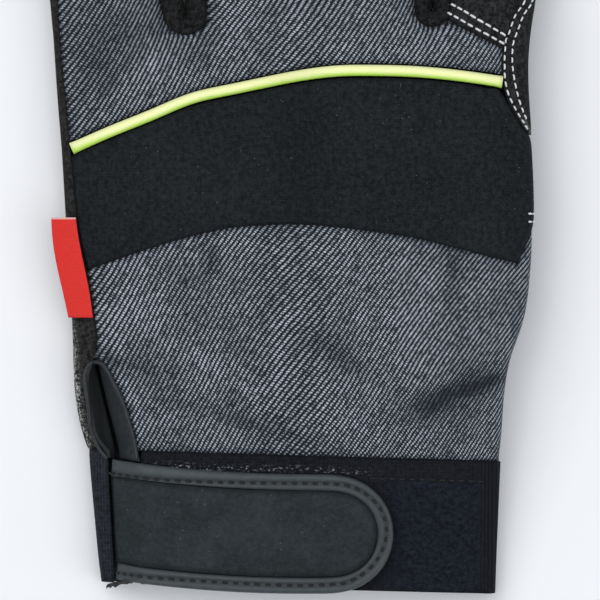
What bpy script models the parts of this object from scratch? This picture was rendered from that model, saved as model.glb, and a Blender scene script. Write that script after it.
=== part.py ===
"""Left-hand mechanic glove, lying on its palm with the thumb folded under it.

The glove is a flat, hollow bag of cloth. Its skins are heights over the plan of the hand: the back
is a low pillow and the palm is flat. Side strips roll from one skin to the other. X runs across the
hand towards the thumb side, Y from the wrist to the fingertips, and Z up, out of the back of the hand.
The origin is on the palm's flat underside, on the surface that the glove lies on.
"""

import math
from collections import namedtuple

import bmesh
import bpy
import numpy as np
from mathutils import Vector

# Driving sizes of the glove, in metres
PALM_WIDTH = 0.1085
BACK_LENGTH = 0.1036
CUFF_LENGTH = 0.0325
LITTLE_LENGTH = 0.055
RING_LENGTH = 0.077
MIDDLE_LENGTH = 0.086
INDEX_LENGTH = 0.069
FINGERTIP_WIDTH = 0.0172
THUMB_LENGTH = 0.052
THUMB_ROOT_WIDTH = 0.032
THUMB_TIP_WIDTH = 0.024

# Heights of the lying glove
SIDE_HEIGHT = 0.0110
CUFF_SIDE_HEIGHT = 0.0092
FINGERTIP_HEIGHT = 0.0085
EDGE_RISE = 0.0030
EDGE_REACH = 0.0085
CROWN = 0.0032
CROWN_REACH = 0.045
THUMB_HEIGHT = 0.0105

# Widths of the rolled sides, seen from above
FINGER_ROLL = 0.0038
LITTLE_ROLL = 0.0024
THUMB_SIDE_ROLL = 0.0036
CUFF_ROLL = 0.0030
THUMB_ROLL = 0.0050
PALM_ROLL = 0.0040

# Width of the crease between the bulging strips at the foot of a gap between fingers
CROTCH_CREASE = 0.0008

# Thickness of the cloths
DENIM_WALL = 0.0013
KNIT_WALL = 0.0018
SUEDE_WALL = 0.0012
ELASTIC_WALL = 0.0015
BINDING_WALL = 0.0010
LABEL_WALL = 0.0010

# Piping, strap, slit, label and the hole to the thumb
PIPING_DIAMETER = 0.0030
STRAP_WIDTH = 0.0292
STRAP_LENGTH = 0.0702
STRAP_WALL = 0.0022
STRAP_DROP = 0.0190
STRAP_SLANT = 0.0036
STRAP_BINDING_WIDTH = 0.0040
STRAP_BINDING_HEIGHT = 0.0028
HOOK_WALL = 0.0009
SLIT_BEAD = 0.0010
SLIT_BEAD_RISE = 0.0005
SLIT_DEPTH = 0.0030
SLIT_OPENING = 0.0008
SLIT_END_MARGIN = 0.001
LABEL_LENGTH = 0.0244
LABEL_WIDTH = 0.0060
LABEL_DROOP = 0.0014
LABEL_BOW = 0.12
THUMB_HOLE_WIDTH = 0.018
THUMB_HOLE_LENGTH = 0.022

# Clearances between sewn pieces, along seams that slant over the thumb side and at the strap's sewn end
SEAM_GAP = 0.0003
SLANT_GAP = 0.0010
STRAP_END_GAP = 0.0009

# The origin, as shares of the palm's width from its middle and of the back's length from the wrist seam
REST_ACROSS = -0.236
REST_ALONG = 0.365

# Places, as the same kinds of share
CUFF_SKEW = 0.028
CUFF_EDGES = (-0.4787, 0.4535)
MOUTH_EDGES = (-0.4505, 0.4427)
CUFF_BACK_LEFT = -0.358
CUFF_ELASTIC_LEFT = (-0.434, -0.418)
STRAP_CLIMB_END = -0.363
HOOK_PEEK_END = -0.290
HOOK_END = 0.150
FOOT_ALONG = 1.071
SADDLE_FOOT = 0.757
INDEX_CORNER = (0.335, 1.018)
INDEX_HEEL = 0.953
LABEL_TOP = 0.559
THUMB_ROOT = (0.322, 0.335)
THUMB_ANGLE = 104
THUMB_HOLE_SHIFT = 0.0020

# Where the palm's little finger side goes from the hand's seam to the finger's
PALM_TO_FINGER = (0.75, 0.98)

# Where the cuff's height at its sides has become the hand's
CUFF_TO_HAND = 0.2

# The sag of the line across a finger's foot, as a share of the rise between the gaps beside it
FOOT_SAG = 0.22

# Where the lift over the folded thumb begins and is full
LIFT_LEFT = (-0.120, 0.100)
LIFT_WRIST = (-0.300, 0.180)
LIFT_FINGERS = (1.320, 0.980)

Station = namedtuple("Station", "along left_edge left_seam right_edge")
STATIONS = [
    Station(0.000, -0.4810, -0.4315, 0.4494),
    Station(0.059, -0.4955, -0.4650, 0.4545),
    Station(0.129, -0.5080, -0.4810, 0.4575),
    Station(0.188, -0.5120, -0.4865, 0.4640),
    Station(0.247, -0.5150, -0.4540, 0.4787),
    Station(0.306, -0.5170, -0.4610, 0.5009),
    Station(0.365, -0.5190, -0.4670, 0.5117),
    Station(0.440, -0.5250, -0.4810, 0.5180),
    Station(0.515, -0.5280, -0.4960, 0.5227),
    Station(0.600, -0.5326, -0.5050, 0.5231),
    Station(0.718, -0.5390, -0.5160, 0.5184),
    Station(0.835, -0.5480, -0.5270, 0.5090),
    Station(0.953, -0.5550, -0.5380, 0.5085),
    Station(1.071, -0.5620, -0.5450, 0.5236),
]

# The wrist slit: its crease and the lip on the back's side. The other lip is the left seam
SlitRow = namedtuple("SlitRow", "along crease lip")
SLIT = [
    SlitRow(0.000, -0.4080, -0.3630),
    SlitRow(0.059, -0.4225, -0.3737),
    SlitRow(0.122, -0.4380, -0.3920),
    SlitRow(0.176, -0.4500, -0.4157),
    SlitRow(0.204, -0.4560, -0.4310),
    SlitRow(0.219, -0.4600, -0.4435),
    SlitRow(0.229, -0.4635, -0.4635),
]

# The knuckle band's lower seam and its upper one, which the piping covers
BandRow = namedtuple("BandRow", "across low high")
BAND = [
    BandRow(-0.516, 0.4210, 0.7200),
    BandRow(-0.416, 0.4590, 0.7650),
    BandRow(-0.330, 0.4890, 0.8005),
    BandRow(-0.245, 0.5150, 0.8388),
    BandRow(-0.157, 0.5350, 0.8590),
    BandRow(-0.072, 0.5416, 0.8770),
    BandRow(0.000, 0.5428, 0.8906),
    BandRow(0.085, 0.5348, 0.9005),
    BandRow(0.171, 0.5238, 0.9014),
    BandRow(0.258, 0.5101, 0.8988),
    BandRow(0.344, 0.4875, 0.8906),
    BandRow(0.429, 0.4652, 0.8788),
    BandRow(0.454, 0.4590, 0.8748),
    BandRow(0.520, 0.4430, 0.8640),
]

# The band's lower seam where it runs over the thumb side's roll: turn 1 is the roll's outermost line
WrapRow = namedtuple("WrapRow", "turn low")
BAND_WRAP = [
    WrapRow(0.00, 0.4470),
    WrapRow(0.50, 0.5060),
    WrapRow(1.00, 0.5390),
    WrapRow(1.25, 0.5480),
]

# How far the saddle's stitched edge lies in from the thumb side
SaddleRow = namedtuple("SaddleRow", "along inset")
SADDLE = [
    SaddleRow(0.7570, 0.0000),
    SaddleRow(0.7835, 0.0236),
    SaddleRow(0.8120, 0.0364),
    SaddleRow(0.8350, 0.0461),
    SaddleRow(0.8660, 0.0533),
    SaddleRow(0.9060, 0.0551),
    SaddleRow(0.9550, 0.0539),
    SaddleRow(0.9760, 0.0506),
    SaddleRow(1.0350, 0.0400),
    SaddleRow(1.0710, 0.0332),
]
# How many of these rows are the rounded corner
SADDLE_CORNER_ROWS = 5

Crotch = namedtuple("Crotch", "name across along radius")
CROTCHES = [
    Crotch("fourchette_little_ring", -0.258, 0.988, 0.0515),
    Crotch("fourchette_ring_middle", 0.020, 1.099, 0.0460),
    Crotch("fourchette_middle_index", 0.2966, 1.0035, 0.0435),
]

# The little, ring, middle and index fingers. tip_share is the tip's width as a share of a fingertip's
Finger = namedtuple("Finger", "tip_across length tip_share")
FINGERS = [
    Finger(-0.498, LITTLE_LENGTH, 0.95),
    Finger(-0.142, RING_LENGTH, 1.00),
    Finger(0.172, MIDDLE_LENGTH, 1.03),
    Finger(0.460, INDEX_LENGTH, 0.98),
]

# Creases in the cloth: centre, direction in degrees, half length and half width, and depth of the valley
Fold = namedtuple("Fold", "across along angle length width depth")
FOLDS = [
    Fold(0.146, 0.176, -33, 0.150, 0.030, 0.0006),
    Fold(0.378, 0.170, 25, 0.070, 0.026, 0.0014),
    Fold(0.300, 0.090, -20, 0.080, 0.022, 0.0007),
    Fold(-0.300, 0.240, 60, 0.090, 0.030, 0.0005),
    Fold(-0.150, 0.930, 75, 0.090, 0.040, 0.0005),
    Fold(0.150, 0.990, 85, 0.090, 0.040, 0.0005),
]
# How much the cloth rises beside a valley, as a share of its depth
FOLD_RIDGE = 0.8

# Counts of facets
CELLS_PER_FINGER = 4
CROTCH_STEPS = 3
FINGER_STEPS = 3
CROTCH_REACH_STEPS = 4
TIP_TURNS = (25, 50, 78)
ROWS_BESIDE_SLIT = (0, 0.2, 0.4, 0.6, 0.78, 0.88, 0.95)
ROWS_ABOVE_SLIT = (0, 0.2, 0.4, 0.6, 0.8, 1)
LOWER_COLUMNS = 20
BAND_ROWS = 7
BAND_COLUMNS = 20
UPPER_ROWS = 5
PALM_ROWS = (9, 5)
CUFF_ROWS = 6
PIPING_SIDES = 8
PIPING_STEPS = 24
STRAP_STEPS = 12
STRAP_CELLS = 5
OVAL_SIDES = 24
LITTLE_ROLL_STEPS = 5
OUTLINE_STEPS = 20
CORNER_CELLS = 3
CUFF_COLUMNS = 14
UNDERSIDE_COLUMNS = 8
LABEL_ROWS = 5
LABEL_COLUMNS = 4
THUMB_END_STEPS = 8
THUMB_SIDE_STEPS = 5

# Directions round a rolled side: 90 degrees is at the back's skin and -90 at the palm's
ROLL_TURNS = (90, 54, 20, -20, -54, -90)
DENIM_TURNS = (90, 58, 28, 0, -22)
PALM_WRAP_TURNS = (-70, -48, -28)
CUFF_BACK_TURNS = (90, 58, 26, -8)
CUFF_ELASTIC_TURNS = (-90, -60, -37, -15)
SADDLE_SHARES = (1.0, 0.62, 0.30, 0.08, 0.0)
SADDLE_TURNS = (-30, -58, -90)
STRAP_BODY_TURNS = (18, 36, 54, 70, 82)
STRAP_EDGE_TURNS = (22, 44, 66, 90, 114, 136, 158)
THUMB_DEPTHS = (0.0, 0.12, 0.45, 1.0)

# The section of the strap's edge, as shares of its width and of its height
BINDING_SECTION = [
    (-0.42, 0.00),
    (0.42, 0.00),
    (0.50, 0.20),
    (0.50, 0.72),
    (0.34, 1.00),
    (-0.34, 1.00),
    (-0.50, 0.72),
    (-0.50, 0.20),
]


def wide(share):
    """A length across, from its share of the palm's width."""
    return share * PALM_WIDTH


def across(share):
    """The X of a place across the hand."""
    return wide(share - REST_ACROSS)


def along(share):
    """The Y of a place along the hand."""
    return (share - REST_ALONG) * BACK_LENGTH


def across_share(x):
    return x / PALM_WIDTH + REST_ACROSS


def along_share(y):
    return y / BACK_LENGTH + REST_ALONG


def clamp(value, low=0.0, high=1.0):
    return max(low, min(high, value))


def smooth(share):
    share = clamp(share)
    return share * share * (3 - 2 * share)


def quarter_sine(share):
    return math.sin(math.pi / 2 * clamp(share))


def lerp(start, end, share):
    return start + (end - start) * share


def read(table, column, at):
    """A column of a table of rows as a smooth curve over its first column."""
    keys = [row[0] for row in table]
    values = [getattr(row, column) for row in table]
    last = len(keys) - 1
    at = clamp(at, keys[0], keys[-1])
    i = max(k for k in range(last) if keys[k] <= at)

    def slope(k):
        low, high = max(k - 1, 0), min(k + 1, last)
        return (values[high] - values[low]) / (keys[high] - keys[low])

    step = keys[i + 1] - keys[i]
    t = (at - keys[i]) / step
    return (
        values[i] * (1 + 2 * t) * (1 - t) ** 2
        + slope(i) * step * t * (1 - t) ** 2
        + values[i + 1] * t * t * (3 - 2 * t)
        + slope(i + 1) * step * t * t * (t - 1)
    )


def wrist_y(x):
    """The wrist seam, which falls a little towards the thumb side."""
    return along(0) - CUFF_SKEW * (x - across(0))


def cuff_share(y):
    return clamp((along(0) - y) / CUFF_LENGTH)


def cuff_seam(side, y):
    """Where the cuff's skins meet its rolled side. side is 0 on the left and 1 on the right."""
    edge = across(lerp(CUFF_EDGES[side], MOUTH_EDGES[side], cuff_share(y)))
    return edge + CUFF_ROLL if side == 0 else edge - CUFF_ROLL


def left_edge(y):
    return across(read(STATIONS, "left_edge", along_share(y)))


def left_seam(y):
    return across(read(STATIONS, "left_seam", along_share(y)))


def right_edge(y):
    return across(read(STATIONS, "right_edge", along_share(y)))


def right_top(y):
    """Where the back turns over into the thumb side's roll."""
    return right_edge(y) - THUMB_SIDE_ROLL


def saddle_edge(y):
    """The saddle's stitched edge on the back."""
    return right_edge(y) - wide(read(SADDLE, "inset", along_share(y)))


def saddle_along(inset):
    """The Y at which the saddle's lower corner crosses a line that lies in from the thumb side."""
    rows = SADDLE[:SADDLE_CORNER_ROWS]
    share = inset / PALM_WIDTH
    return along(float(np.interp(share, [row.inset for row in rows], [row.along for row in rows])))


def band_low(x):
    return along(read(BAND, "low", across_share(x)))


def band_high(x):
    return along(read(BAND, "high", across_share(x)))


def tip_half_width(finger):
    return FINGERTIP_WIDTH * finger.tip_share / 2


def tip_y(finger):
    return along(1) + finger.length


def finger_side(finger, foot, side):
    """The seam line of a finger's side, from its foot to the middle of its tip. side is -1 on the left."""
    half = tip_half_width(finger)
    centre = Vector((across(finger.tip_across), tip_y(finger) - half))
    head = centre + Vector((side * half, 0))
    points = [foot.lerp(head, k / FINGER_STEPS) for k in range(FINGER_STEPS + 1)]
    for turn in TIP_TURNS:
        angle = math.radians(turn)
        points.append(centre + Vector((side * math.cos(angle), math.sin(angle))) * half)
    points.append(centre + Vector((side * SEAM_GAP / 2, half)))
    return points


def crotch_arc(crotch, side):
    """A quarter of the round foot of the gap between two fingers, from its lowest point up one side."""
    radius = wide(crotch.radius)
    centre = Vector((across(crotch.across), along(crotch.along) + radius))
    angles = [math.pi / 2 * k / CROTCH_STEPS for k in range(CROTCH_STEPS)]
    return [centre + Vector((side * math.sin(a), -math.cos(a))) * radius for a in angles]


def crotch_foot(crotch, side):
    radius = wide(crotch.radius)
    return Vector((across(crotch.across) + side * radius, along(crotch.along) + radius))


def level_foot(side_line):
    """Points of an outer side line beside the feet of the gaps."""
    ends = along(CROTCHES[0].along), along(FOOT_ALONG)
    heights = [lerp(*ends, k / CROTCH_STEPS) for k in range(CROTCH_STEPS + 1)]
    return [Vector((side_line(y), y)) for y in heights]


def left_line(index):
    """The left seam line of a finger, from its foot to its tip."""
    finger = FINGERS[index]
    if index == 0:
        foot = level_foot(left_seam)
        return foot[:-1] + finger_side(finger, foot[-1], -1)
    crotch = CROTCHES[index - 1]
    return crotch_arc(crotch, 1) + finger_side(finger, crotch_foot(crotch, 1), -1)


def right_line(index, side_line=None):
    """The right seam line of a finger. side_line is the edge that the index finger's line goes on from."""
    finger = FINGERS[index]
    if index == len(FINGERS) - 1:
        foot = level_foot(side_line or right_top)
        return foot[:-1] + finger_side(finger, foot[-1], 1)
    crotch = CROTCHES[index]
    return crotch_arc(crotch, -1) + finger_side(finger, crotch_foot(crotch, -1), 1)


def gap_line(index):
    """The seam line round the gap between two fingers: down one, round the foot and up the next."""
    return list(reversed(right_line(index))) + left_line(index + 1)[1:]


def plan_normals(points):
    """The plan direction to the left of travel at each point of a line."""
    normals = []
    for i in range(len(points)):
        ahead = points[min(i + 1, len(points) - 1)] - points[i]
        behind = points[i] - points[max(i - 1, 0)]
        direction = sum((d.normalized() for d in (ahead, behind) if d.length > 0), Vector((0, 0)))
        direction.normalize()
        normals.append(Vector((-direction.y, direction.x)))
    return normals


def offset_line(points, distance):
    """A plan line moved sideways, to the left of travel for a positive distance."""
    return [point + normal * distance for point, normal in zip(points, plan_normals(points))]


def inset_sides(index, side_line=None):
    """A finger's two seam lines moved in by half a seam gap, without the very tip."""
    half = SEAM_GAP / 2
    if index == 0:
        left = offset_line(left_line(0), -half)
    else:
        left = offset_line(gap_line(index - 1), -half)[len(right_line(index - 1)) - 1 :]
    if index == len(FINGERS) - 1:
        right = offset_line(right_line(index, side_line), half)
    else:
        right = list(reversed(offset_line(gap_line(index), -half)[: len(right_line(index))]))
    return left[:-1], right[:-1]


def body_line(side_line, count):
    """Points of an outer side line from the wrist up to the feet of the fingers."""
    ends = along(0), along(CROTCHES[0].along)
    heights = [lerp(*ends, k / count) for k in range(count)]
    return [Vector((side_line(y), y)) for y in heights]


def outline_segments():
    """The seam lines round the back, as the starts and ends of short straight pieces."""
    lines = [gap_line(k) for k in range(len(CROTCHES))]
    lines.append(body_line(left_seam, OUTLINE_STEPS) + left_line(0))
    lines.append(body_line(right_top, OUTLINE_STEPS) + right_line(len(FINGERS) - 1))
    mouth = along(0) - CUFF_LENGTH
    for side in (0, 1):
        lines.append([Vector((cuff_seam(side, y), y)) for y in (mouth, along(0))])
    starts = [point for line in lines for point in line[:-1]]
    ends = [point for line in lines for point in line[1:]]
    return np.array(starts), np.array(ends)


SEGMENT_STARTS, SEGMENT_ENDS = outline_segments()


def edge_distance(x, y):
    """How far a point of the plan is from the nearest seam line round the glove."""
    run = SEGMENT_ENDS - SEGMENT_STARTS
    to_point = np.array((x, y)) - SEGMENT_STARTS
    share = np.clip((to_point * run).sum(1) / (run * run).sum(1), 0, 1)
    nearest = SEGMENT_STARTS + run * share[:, None]
    return float(np.sqrt(((nearest - (x, y)) ** 2).sum(1).min()))


def ramp(value, ends):
    return smooth((value - ends[0]) / (ends[1] - ends[0]))


def lift(x, y):
    """How far the folded thumb lifts the palm off the surface."""
    share = along_share(y)
    both_ways = ramp(share, LIFT_WRIST) * ramp(share, LIFT_FINGERS)
    return (THUMB_HEIGHT + SEAM_GAP) * ramp(across_share(x), LIFT_LEFT) * both_ways


def side_height(x, y):
    """The height of the rolled side, from the palm's skin to the back's."""
    wrist = lerp(CUFF_SIDE_HEIGHT, SIDE_HEIGHT, smooth(along_share(y) / CUFF_TO_HAND))
    finger = min(FINGERS, key=lambda each: abs(across(each.tip_across) - x))
    to_tip = ramp(y, (along(FOOT_ALONG), tip_y(finger)))
    return lerp(wrist, FINGERTIP_HEIGHT, to_tip)


def fold_height(x, y):
    """The creases of the cloth, each a valley with a low ridge beside it."""
    height = 0.0
    for fold in FOLDS:
        angle = math.radians(fold.angle)
        dx, dy = x - across(fold.across), y - along(fold.along)
        lengthwise = (dx * math.cos(angle) + dy * math.sin(angle)) / wide(fold.length)
        sideways = (dy * math.cos(angle) - dx * math.sin(angle)) / wide(fold.width)
        height -= fold.depth * math.exp(-(lengthwise**2) - sideways**2) * (1 + FOLD_RIDGE * sideways)
    return height


def back_height(x, y):
    """The height of the back's outer skin."""
    distance = edge_distance(x, y)
    near_edge = quarter_sine(distance / EDGE_REACH)
    rise = EDGE_RISE * near_edge + CROWN * quarter_sine(distance / CROWN_REACH)
    return lift(x, y) + side_height(x, y) + rise + fold_height(x, y) * near_edge


def back_point(x, y, wall, above=0.0):
    """A point of the back and the point under it on the inside of the cloth."""
    top = Vector((x, y, back_height(x, y) + above))
    return top, top - Vector((0, 0, wall))


def palm_point(x, y, wall):
    """A point of the palm's outside and the point over it on the inside of the cloth."""
    low = Vector((x, y, lift(x, y)))
    return low, low + Vector((0, 0, wall))


def roll_point(seam, outward, reach, turn, wall):
    """A point of a rolled side and of its inside. seam is on the seam line and outward its plan normal."""
    angle = math.radians(turn)
    half = side_height(seam.x, seam.y) / 2
    middle = lift(seam.x, seam.y) + half
    made = []
    for inset in (0, wall):
        plan = seam + outward * ((reach - inset) * math.cos(angle))
        made.append(Vector((plan.x, plan.y, middle + (half - inset) * math.sin(angle))))
    return tuple(made)


def thumb_side_point(y, turn, wall):
    return roll_point(Vector((right_top(y), y)), Vector((1, 0)), THUMB_SIDE_ROLL, turn, wall)


def thumb_side_inset(turn):
    """How far a direction of the thumb side's roll lies in from its outermost line."""
    return THUMB_SIDE_ROLL * (1 - math.cos(math.radians(turn)))


def material(name, colour, roughness):
    made = bpy.data.materials.new(name)
    made.use_nodes = True
    shader = made.node_tree.nodes["Principled BSDF"]
    shader.inputs["Base Color"].default_value = (*colour, 1)
    shader.inputs["Roughness"].default_value = roughness
    made.diffuse_color = (*colour, 1)
    return made


def add_object(name, points, faces, finish):
    """A closed piece from its points and faces, with its faces turned outwards."""
    mesh = bpy.data.meshes.new(name)
    mesh.from_pydata([tuple(point) for point in points], [], faces)
    work = bmesh.new()
    work.from_mesh(mesh)
    bmesh.ops.recalc_face_normals(work, faces=work.faces)
    work.to_mesh(mesh)
    work.free()
    mesh.materials.append(finish)
    mesh.shade_smooth()
    mesh.set_sharp_from_angle(angle=math.radians(50))
    piece = bpy.data.objects.new(name, mesh)
    bpy.context.scene.collection.objects.link(piece)
    return piece


def shell(name, grids, finish):
    """A cloth piece from grids of (outside, inside) points, which join where their outsides meet."""
    numbers = {}
    outside, inside, faces = [], [], []
    for rows in grids:
        lattice = []
        for row in rows:
            lattice.append([])
            for outer, inner in row:
                key = tuple(round(value * 1e6) for value in outer)
                if key not in numbers:
                    numbers[key] = len(outside)
                    outside.append(outer)
                    inside.append(inner)
                lattice[-1].append(numbers[key])
        for low, high in zip(lattice, lattice[1:]):
            for i in range(len(low) - 1):
                corners = list(dict.fromkeys((low[i], low[i + 1], high[i + 1], high[i])))
                if len(corners) > 2:
                    faces.append(corners)
    edges = {(a, b) for face in faces for a, b in zip(face, face[1:] + face[:1])}
    count = len(outside)
    closed = faces + [[corner + count for corner in reversed(face)] for face in faces]
    closed += [[b, a, a + count, b + count] for a, b in sorted(edges) if (b, a) not in edges]
    return add_object(name, outside + inside, closed, finish)


def swept(name, sections, finish):
    """A solid through closed sections of equally many points, with flat ends."""
    size = len(sections[0])
    points = [point for section in sections for point in section]
    faces = [list(range(size)), list(range(len(points) - size, len(points)))]
    for k in range(len(sections) - 1):
        for i in range(size):
            j = (i + 1) % size
            faces.append([k * size + i, k * size + j, (k + 1) * size + j, (k + 1) * size + i])
    return add_object(name, points, faces, finish)


def across_cells(start, end, count):
    return [start.lerp(end, k / count) for k in range(count + 1)]


def foot_cells(start, end):
    """The line across one finger's foot, which sags where the gaps beside the finger are not level."""
    cells = across_cells(start, end, CELLS_PER_FINGER)
    sag = FOOT_SAG * abs(start.y - end.y)
    for k, cell in enumerate(cells):
        cell.y -= sag * math.sin(math.pi * k / CELLS_PER_FINGER)
    return cells


def finger_rows(index):
    """The plan points of a finger's front or back, from its foot to its tip."""
    left, right = inset_sides(index)
    rows = [across_cells(a, b, CELLS_PER_FINGER) for a, b in zip(left, right)]
    return [foot_cells(left[0], right[0])] + rows[1:]


def foot_points(last_finger):
    """The line across the feet of the fingers, where their grids join the hand's."""
    points = []
    for index in range(last_finger + 1):
        left, right = inset_sides(index)
        cells = foot_cells(left[0], right[0])
        points += cells if index == 0 else cells[1:]
    return points


def build_materials():
    return {
        "denim": material("denim", (0.105, 0.12, 0.145), 0.85),
        "knit": material("knit", (0.016, 0.018, 0.021), 0.8),
        "suede": material("suede", (0.02, 0.019, 0.017), 0.9),
        "elastic": material("elastic", (0.013, 0.014, 0.022), 0.85),
        "loop": material("loop", (0.011, 0.012, 0.017), 0.9),
        "binding": material("binding", (0.035, 0.038, 0.042), 0.5),
        "neoprene": material("neoprene", (0.022, 0.026, 0.028), 0.75),
        "piping": material("piping", (0.62, 0.82, 0.18), 0.45),
        "label": material("label", (0.75, 0.05, 0.03), 0.6),
        "hook": material("hook", (0.012, 0.012, 0.012), 0.7),
    }


def slit_lip(y):
    return across(read(SLIT, "lip", along_share(y)))


def slit_crease(y):
    return across(read(SLIT, "crease", along_share(y)))


def panel_left(y):
    """The left edge of the back's panels: the slit's lip near the wrist and the side seam above it."""
    beside_slit = along_share(y) < SLIT[-1].along
    return (slit_lip(y) if beside_slit else left_seam(y)) + SEAM_GAP / 2


def between(low, high, share, x_at):
    """A plan point that lies at a share of the way between two seams, at an X that depends on its Y."""
    y = lerp(low(0), high(0), share)
    for _ in range(20):
        x = x_at(y)
        y = lerp(low(x), high(x), share)
    return Vector((x_at(y), y))


def ruled_rows(low, high, left, right, shares, columns):
    """Rows of plan points between two seams, low and high, and two side lines, left and right."""

    def x_of(side):
        return lambda y: lerp(left(y), right(y), side)

    return [
        [between(low, high, share, x_of(i / columns)) for i in range(columns + 1)]
        for share in shares
    ]


def lower_low(x):
    return wrist_y(x) + SEAM_GAP / 2


def lower_high(x):
    return band_low(x) - SEAM_GAP / 2


def lower_shares():
    """Where the lower panel has its rows, with one at the slit's upper end on the left."""
    y = along(SLIT[-1].along)
    x = panel_left(y)
    slit_end = (y - lower_low(x)) / (lower_high(x) - lower_low(x))
    beside = [slit_end * share for share in ROWS_BESIDE_SLIT]
    return beside + [lerp(slit_end, 1, share) for share in ROWS_ABOVE_SLIT]


def band_shares():
    return [k / BAND_ROWS for k in range(BAND_ROWS + 1)]


def flat_right(y):
    """The last column of the back before the thumb side's roll."""
    return right_top(y) - THUMB_SIDE_ROLL / 3


def back_lower(finishes):
    """The denim panel between the wrist and the knuckle band, which turns over the thumb side."""
    shares = lower_shares()
    plan = ruled_rows(lower_low, lower_high, panel_left, flat_right, shares, LOWER_COLUMNS)
    start = wrist_y(right_edge(along(0))) + SEAM_GAP / 2
    rows = []
    for share, row in zip(shares, plan):
        points = [back_point(point.x, point.y, DENIM_WALL) for point in row]
        for turn in DENIM_TURNS:
            end = along(read(BAND_WRAP, "low", 1 - turn / 90)) - SLANT_GAP / 2
            points.append(thumb_side_point(lerp(start, end, share), turn, DENIM_WALL))
        rows.append(points)
    return shell("back_lower", [rows], finishes["denim"])


def band_bottom(x):
    return band_low(x) + SEAM_GAP / 2


def band_top(x):
    """The band's upper edge, beside the piping and then beside the saddle's corner."""
    under_piping = band_high(x) - PIPING_DIAMETER / 2 - SEAM_GAP
    if x < saddle_edge(along(SADDLE[SADDLE_CORNER_ROWS - 1].along)):
        return under_piping
    beside_saddle = along(SADDLE_FOOT)
    for _ in range(8):
        beside_saddle = saddle_along(max(right_edge(beside_saddle) - x, 0))
    return min(under_piping, beside_saddle - SLANT_GAP)


def knuckle_band(finishes):
    """The plain knit band over the knuckles, between the piping and the lower panel."""
    shares = band_shares()
    plan = ruled_rows(band_bottom, band_top, panel_left, flat_right, shares, BAND_COLUMNS)
    rows = []
    for share, row in zip(shares, plan):
        points = [back_point(point.x, point.y, KNIT_WALL) for point in row]
        for turn in DENIM_TURNS:
            start = along(read(BAND_WRAP, "low", 1 - turn / 90)) + SLANT_GAP / 2
            end = saddle_along(thumb_side_inset(max(turn, 0))) - SLANT_GAP
            points.append(thumb_side_point(lerp(start, end, share), turn, DENIM_WALL))
        rows.append(points)
    return shell("knuckle_band", [rows], finishes["knit"])


def upper_plan():
    """Rows of plan points of the denim above the piping, up to the feet of the fingers."""
    feet = foot_points(2)
    corner = Vector((across(INDEX_CORNER[0]), along(INDEX_CORNER[1])))
    heel_y = along(INDEX_HEEL)
    heel = Vector((saddle_edge(heel_y) - SEAM_GAP / 2, heel_y))
    feet += across_cells(corner, heel, CORNER_CELLS)
    clear = PIPING_DIAMETER / 2 + SEAM_GAP
    start = panel_left(along(BAND[0].high))
    end = saddle_edge(along(BAND[-1].high)) - SEAM_GAP / 2
    rows = []
    for k in range(UPPER_ROWS + 1):
        share = k / UPPER_ROWS
        row = []
        for foot in feet:
            side = (foot.x - feet[0].x) / (feet[-1].x - feet[0].x)
            x = lerp(start, end, side)
            y = lerp(band_high(x) + clear, foot.y, share)
            row.append(Vector((lerp(x, foot.x, share), y)))
        row[0].x = panel_left(row[0].y)
        row[-1].x = saddle_edge(row[-1].y) - SEAM_GAP / 2
        rows.append(row)
    return rows


def back_upper(finishes):
    """The denim panel above the piping, with the backs of three fingers."""
    hand = upper_plan()
    plans = [hand] + [finger_rows(index) for index in range(3)]
    plans[1][0][0] = hand[-1][0]
    grids = [[[back_point(p.x, p.y, DENIM_WALL) for p in row] for row in plan] for plan in plans]
    return shell("back_upper", grids, finishes["denim"])


def index_back(finishes):
    """The suede back of the index finger, whose lower edge is stitched down on the denim."""
    left, right = inset_sides(3, saddle_edge)
    corner = Vector((across(INDEX_CORNER[0]), along(INDEX_CORNER[1]) + SEAM_GAP))
    heel_y = along(INDEX_HEEL) + SEAM_GAP
    heel = Vector((saddle_edge(heel_y) - SEAM_GAP / 2, heel_y))
    start = [k for k, point in enumerate(left) if point.y > corner.y + SEAM_GAP][0]
    rows = []
    for a, b in zip([corner] + left[start:], [heel] + right[start:]):
        cells = across_cells(a, b, CELLS_PER_FINGER)
        rows.append([back_point(point.x, point.y, SUEDE_WALL) for point in cells])
    return shell("index_back", [rows], finishes["suede"])


def palm_right(y):
    return right_top(y) - SEAM_GAP


def palm_left(y):
    """Where the palm's skin meets the little finger's side strip."""
    on_hand = left_edge(y) + PALM_ROLL
    return lerp(on_hand, left_seam(y), ramp(along_share(y), PALM_TO_FINGER))


def palm_plan():
    """Rows of plan points of the palm up to the feet of the fingers, with one row at the saddle's foot."""
    feet = foot_points(3)
    feet[-1].x = palm_right(feet[-1].y)
    waist = along(SADDLE_FOOT) - SEAM_GAP
    rows = []
    for k in range(sum(PALM_ROWS) + 1):
        share = clamp((k - PALM_ROWS[0]) / PALM_ROWS[1])
        row = []
        for foot in feet:
            side = (foot.x - feet[0].x) / (feet[-1].x - feet[0].x)
            x = lerp(palm_left(along(0)), palm_right(along(0)), side)
            y = lerp(lerp(lower_low(x), waist, clamp(k / PALM_ROWS[0])), foot.y, share)
            straight = lerp(palm_left(y) + SEAM_GAP, palm_right(y), side)
            row.append(Vector((lerp(straight, foot.x, share), y)))
        row[0].x = palm_left(row[0].y) + SEAM_GAP
        row[-1].x = palm_right(row[-1].y)
        rows.append(row)
    return rows


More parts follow.
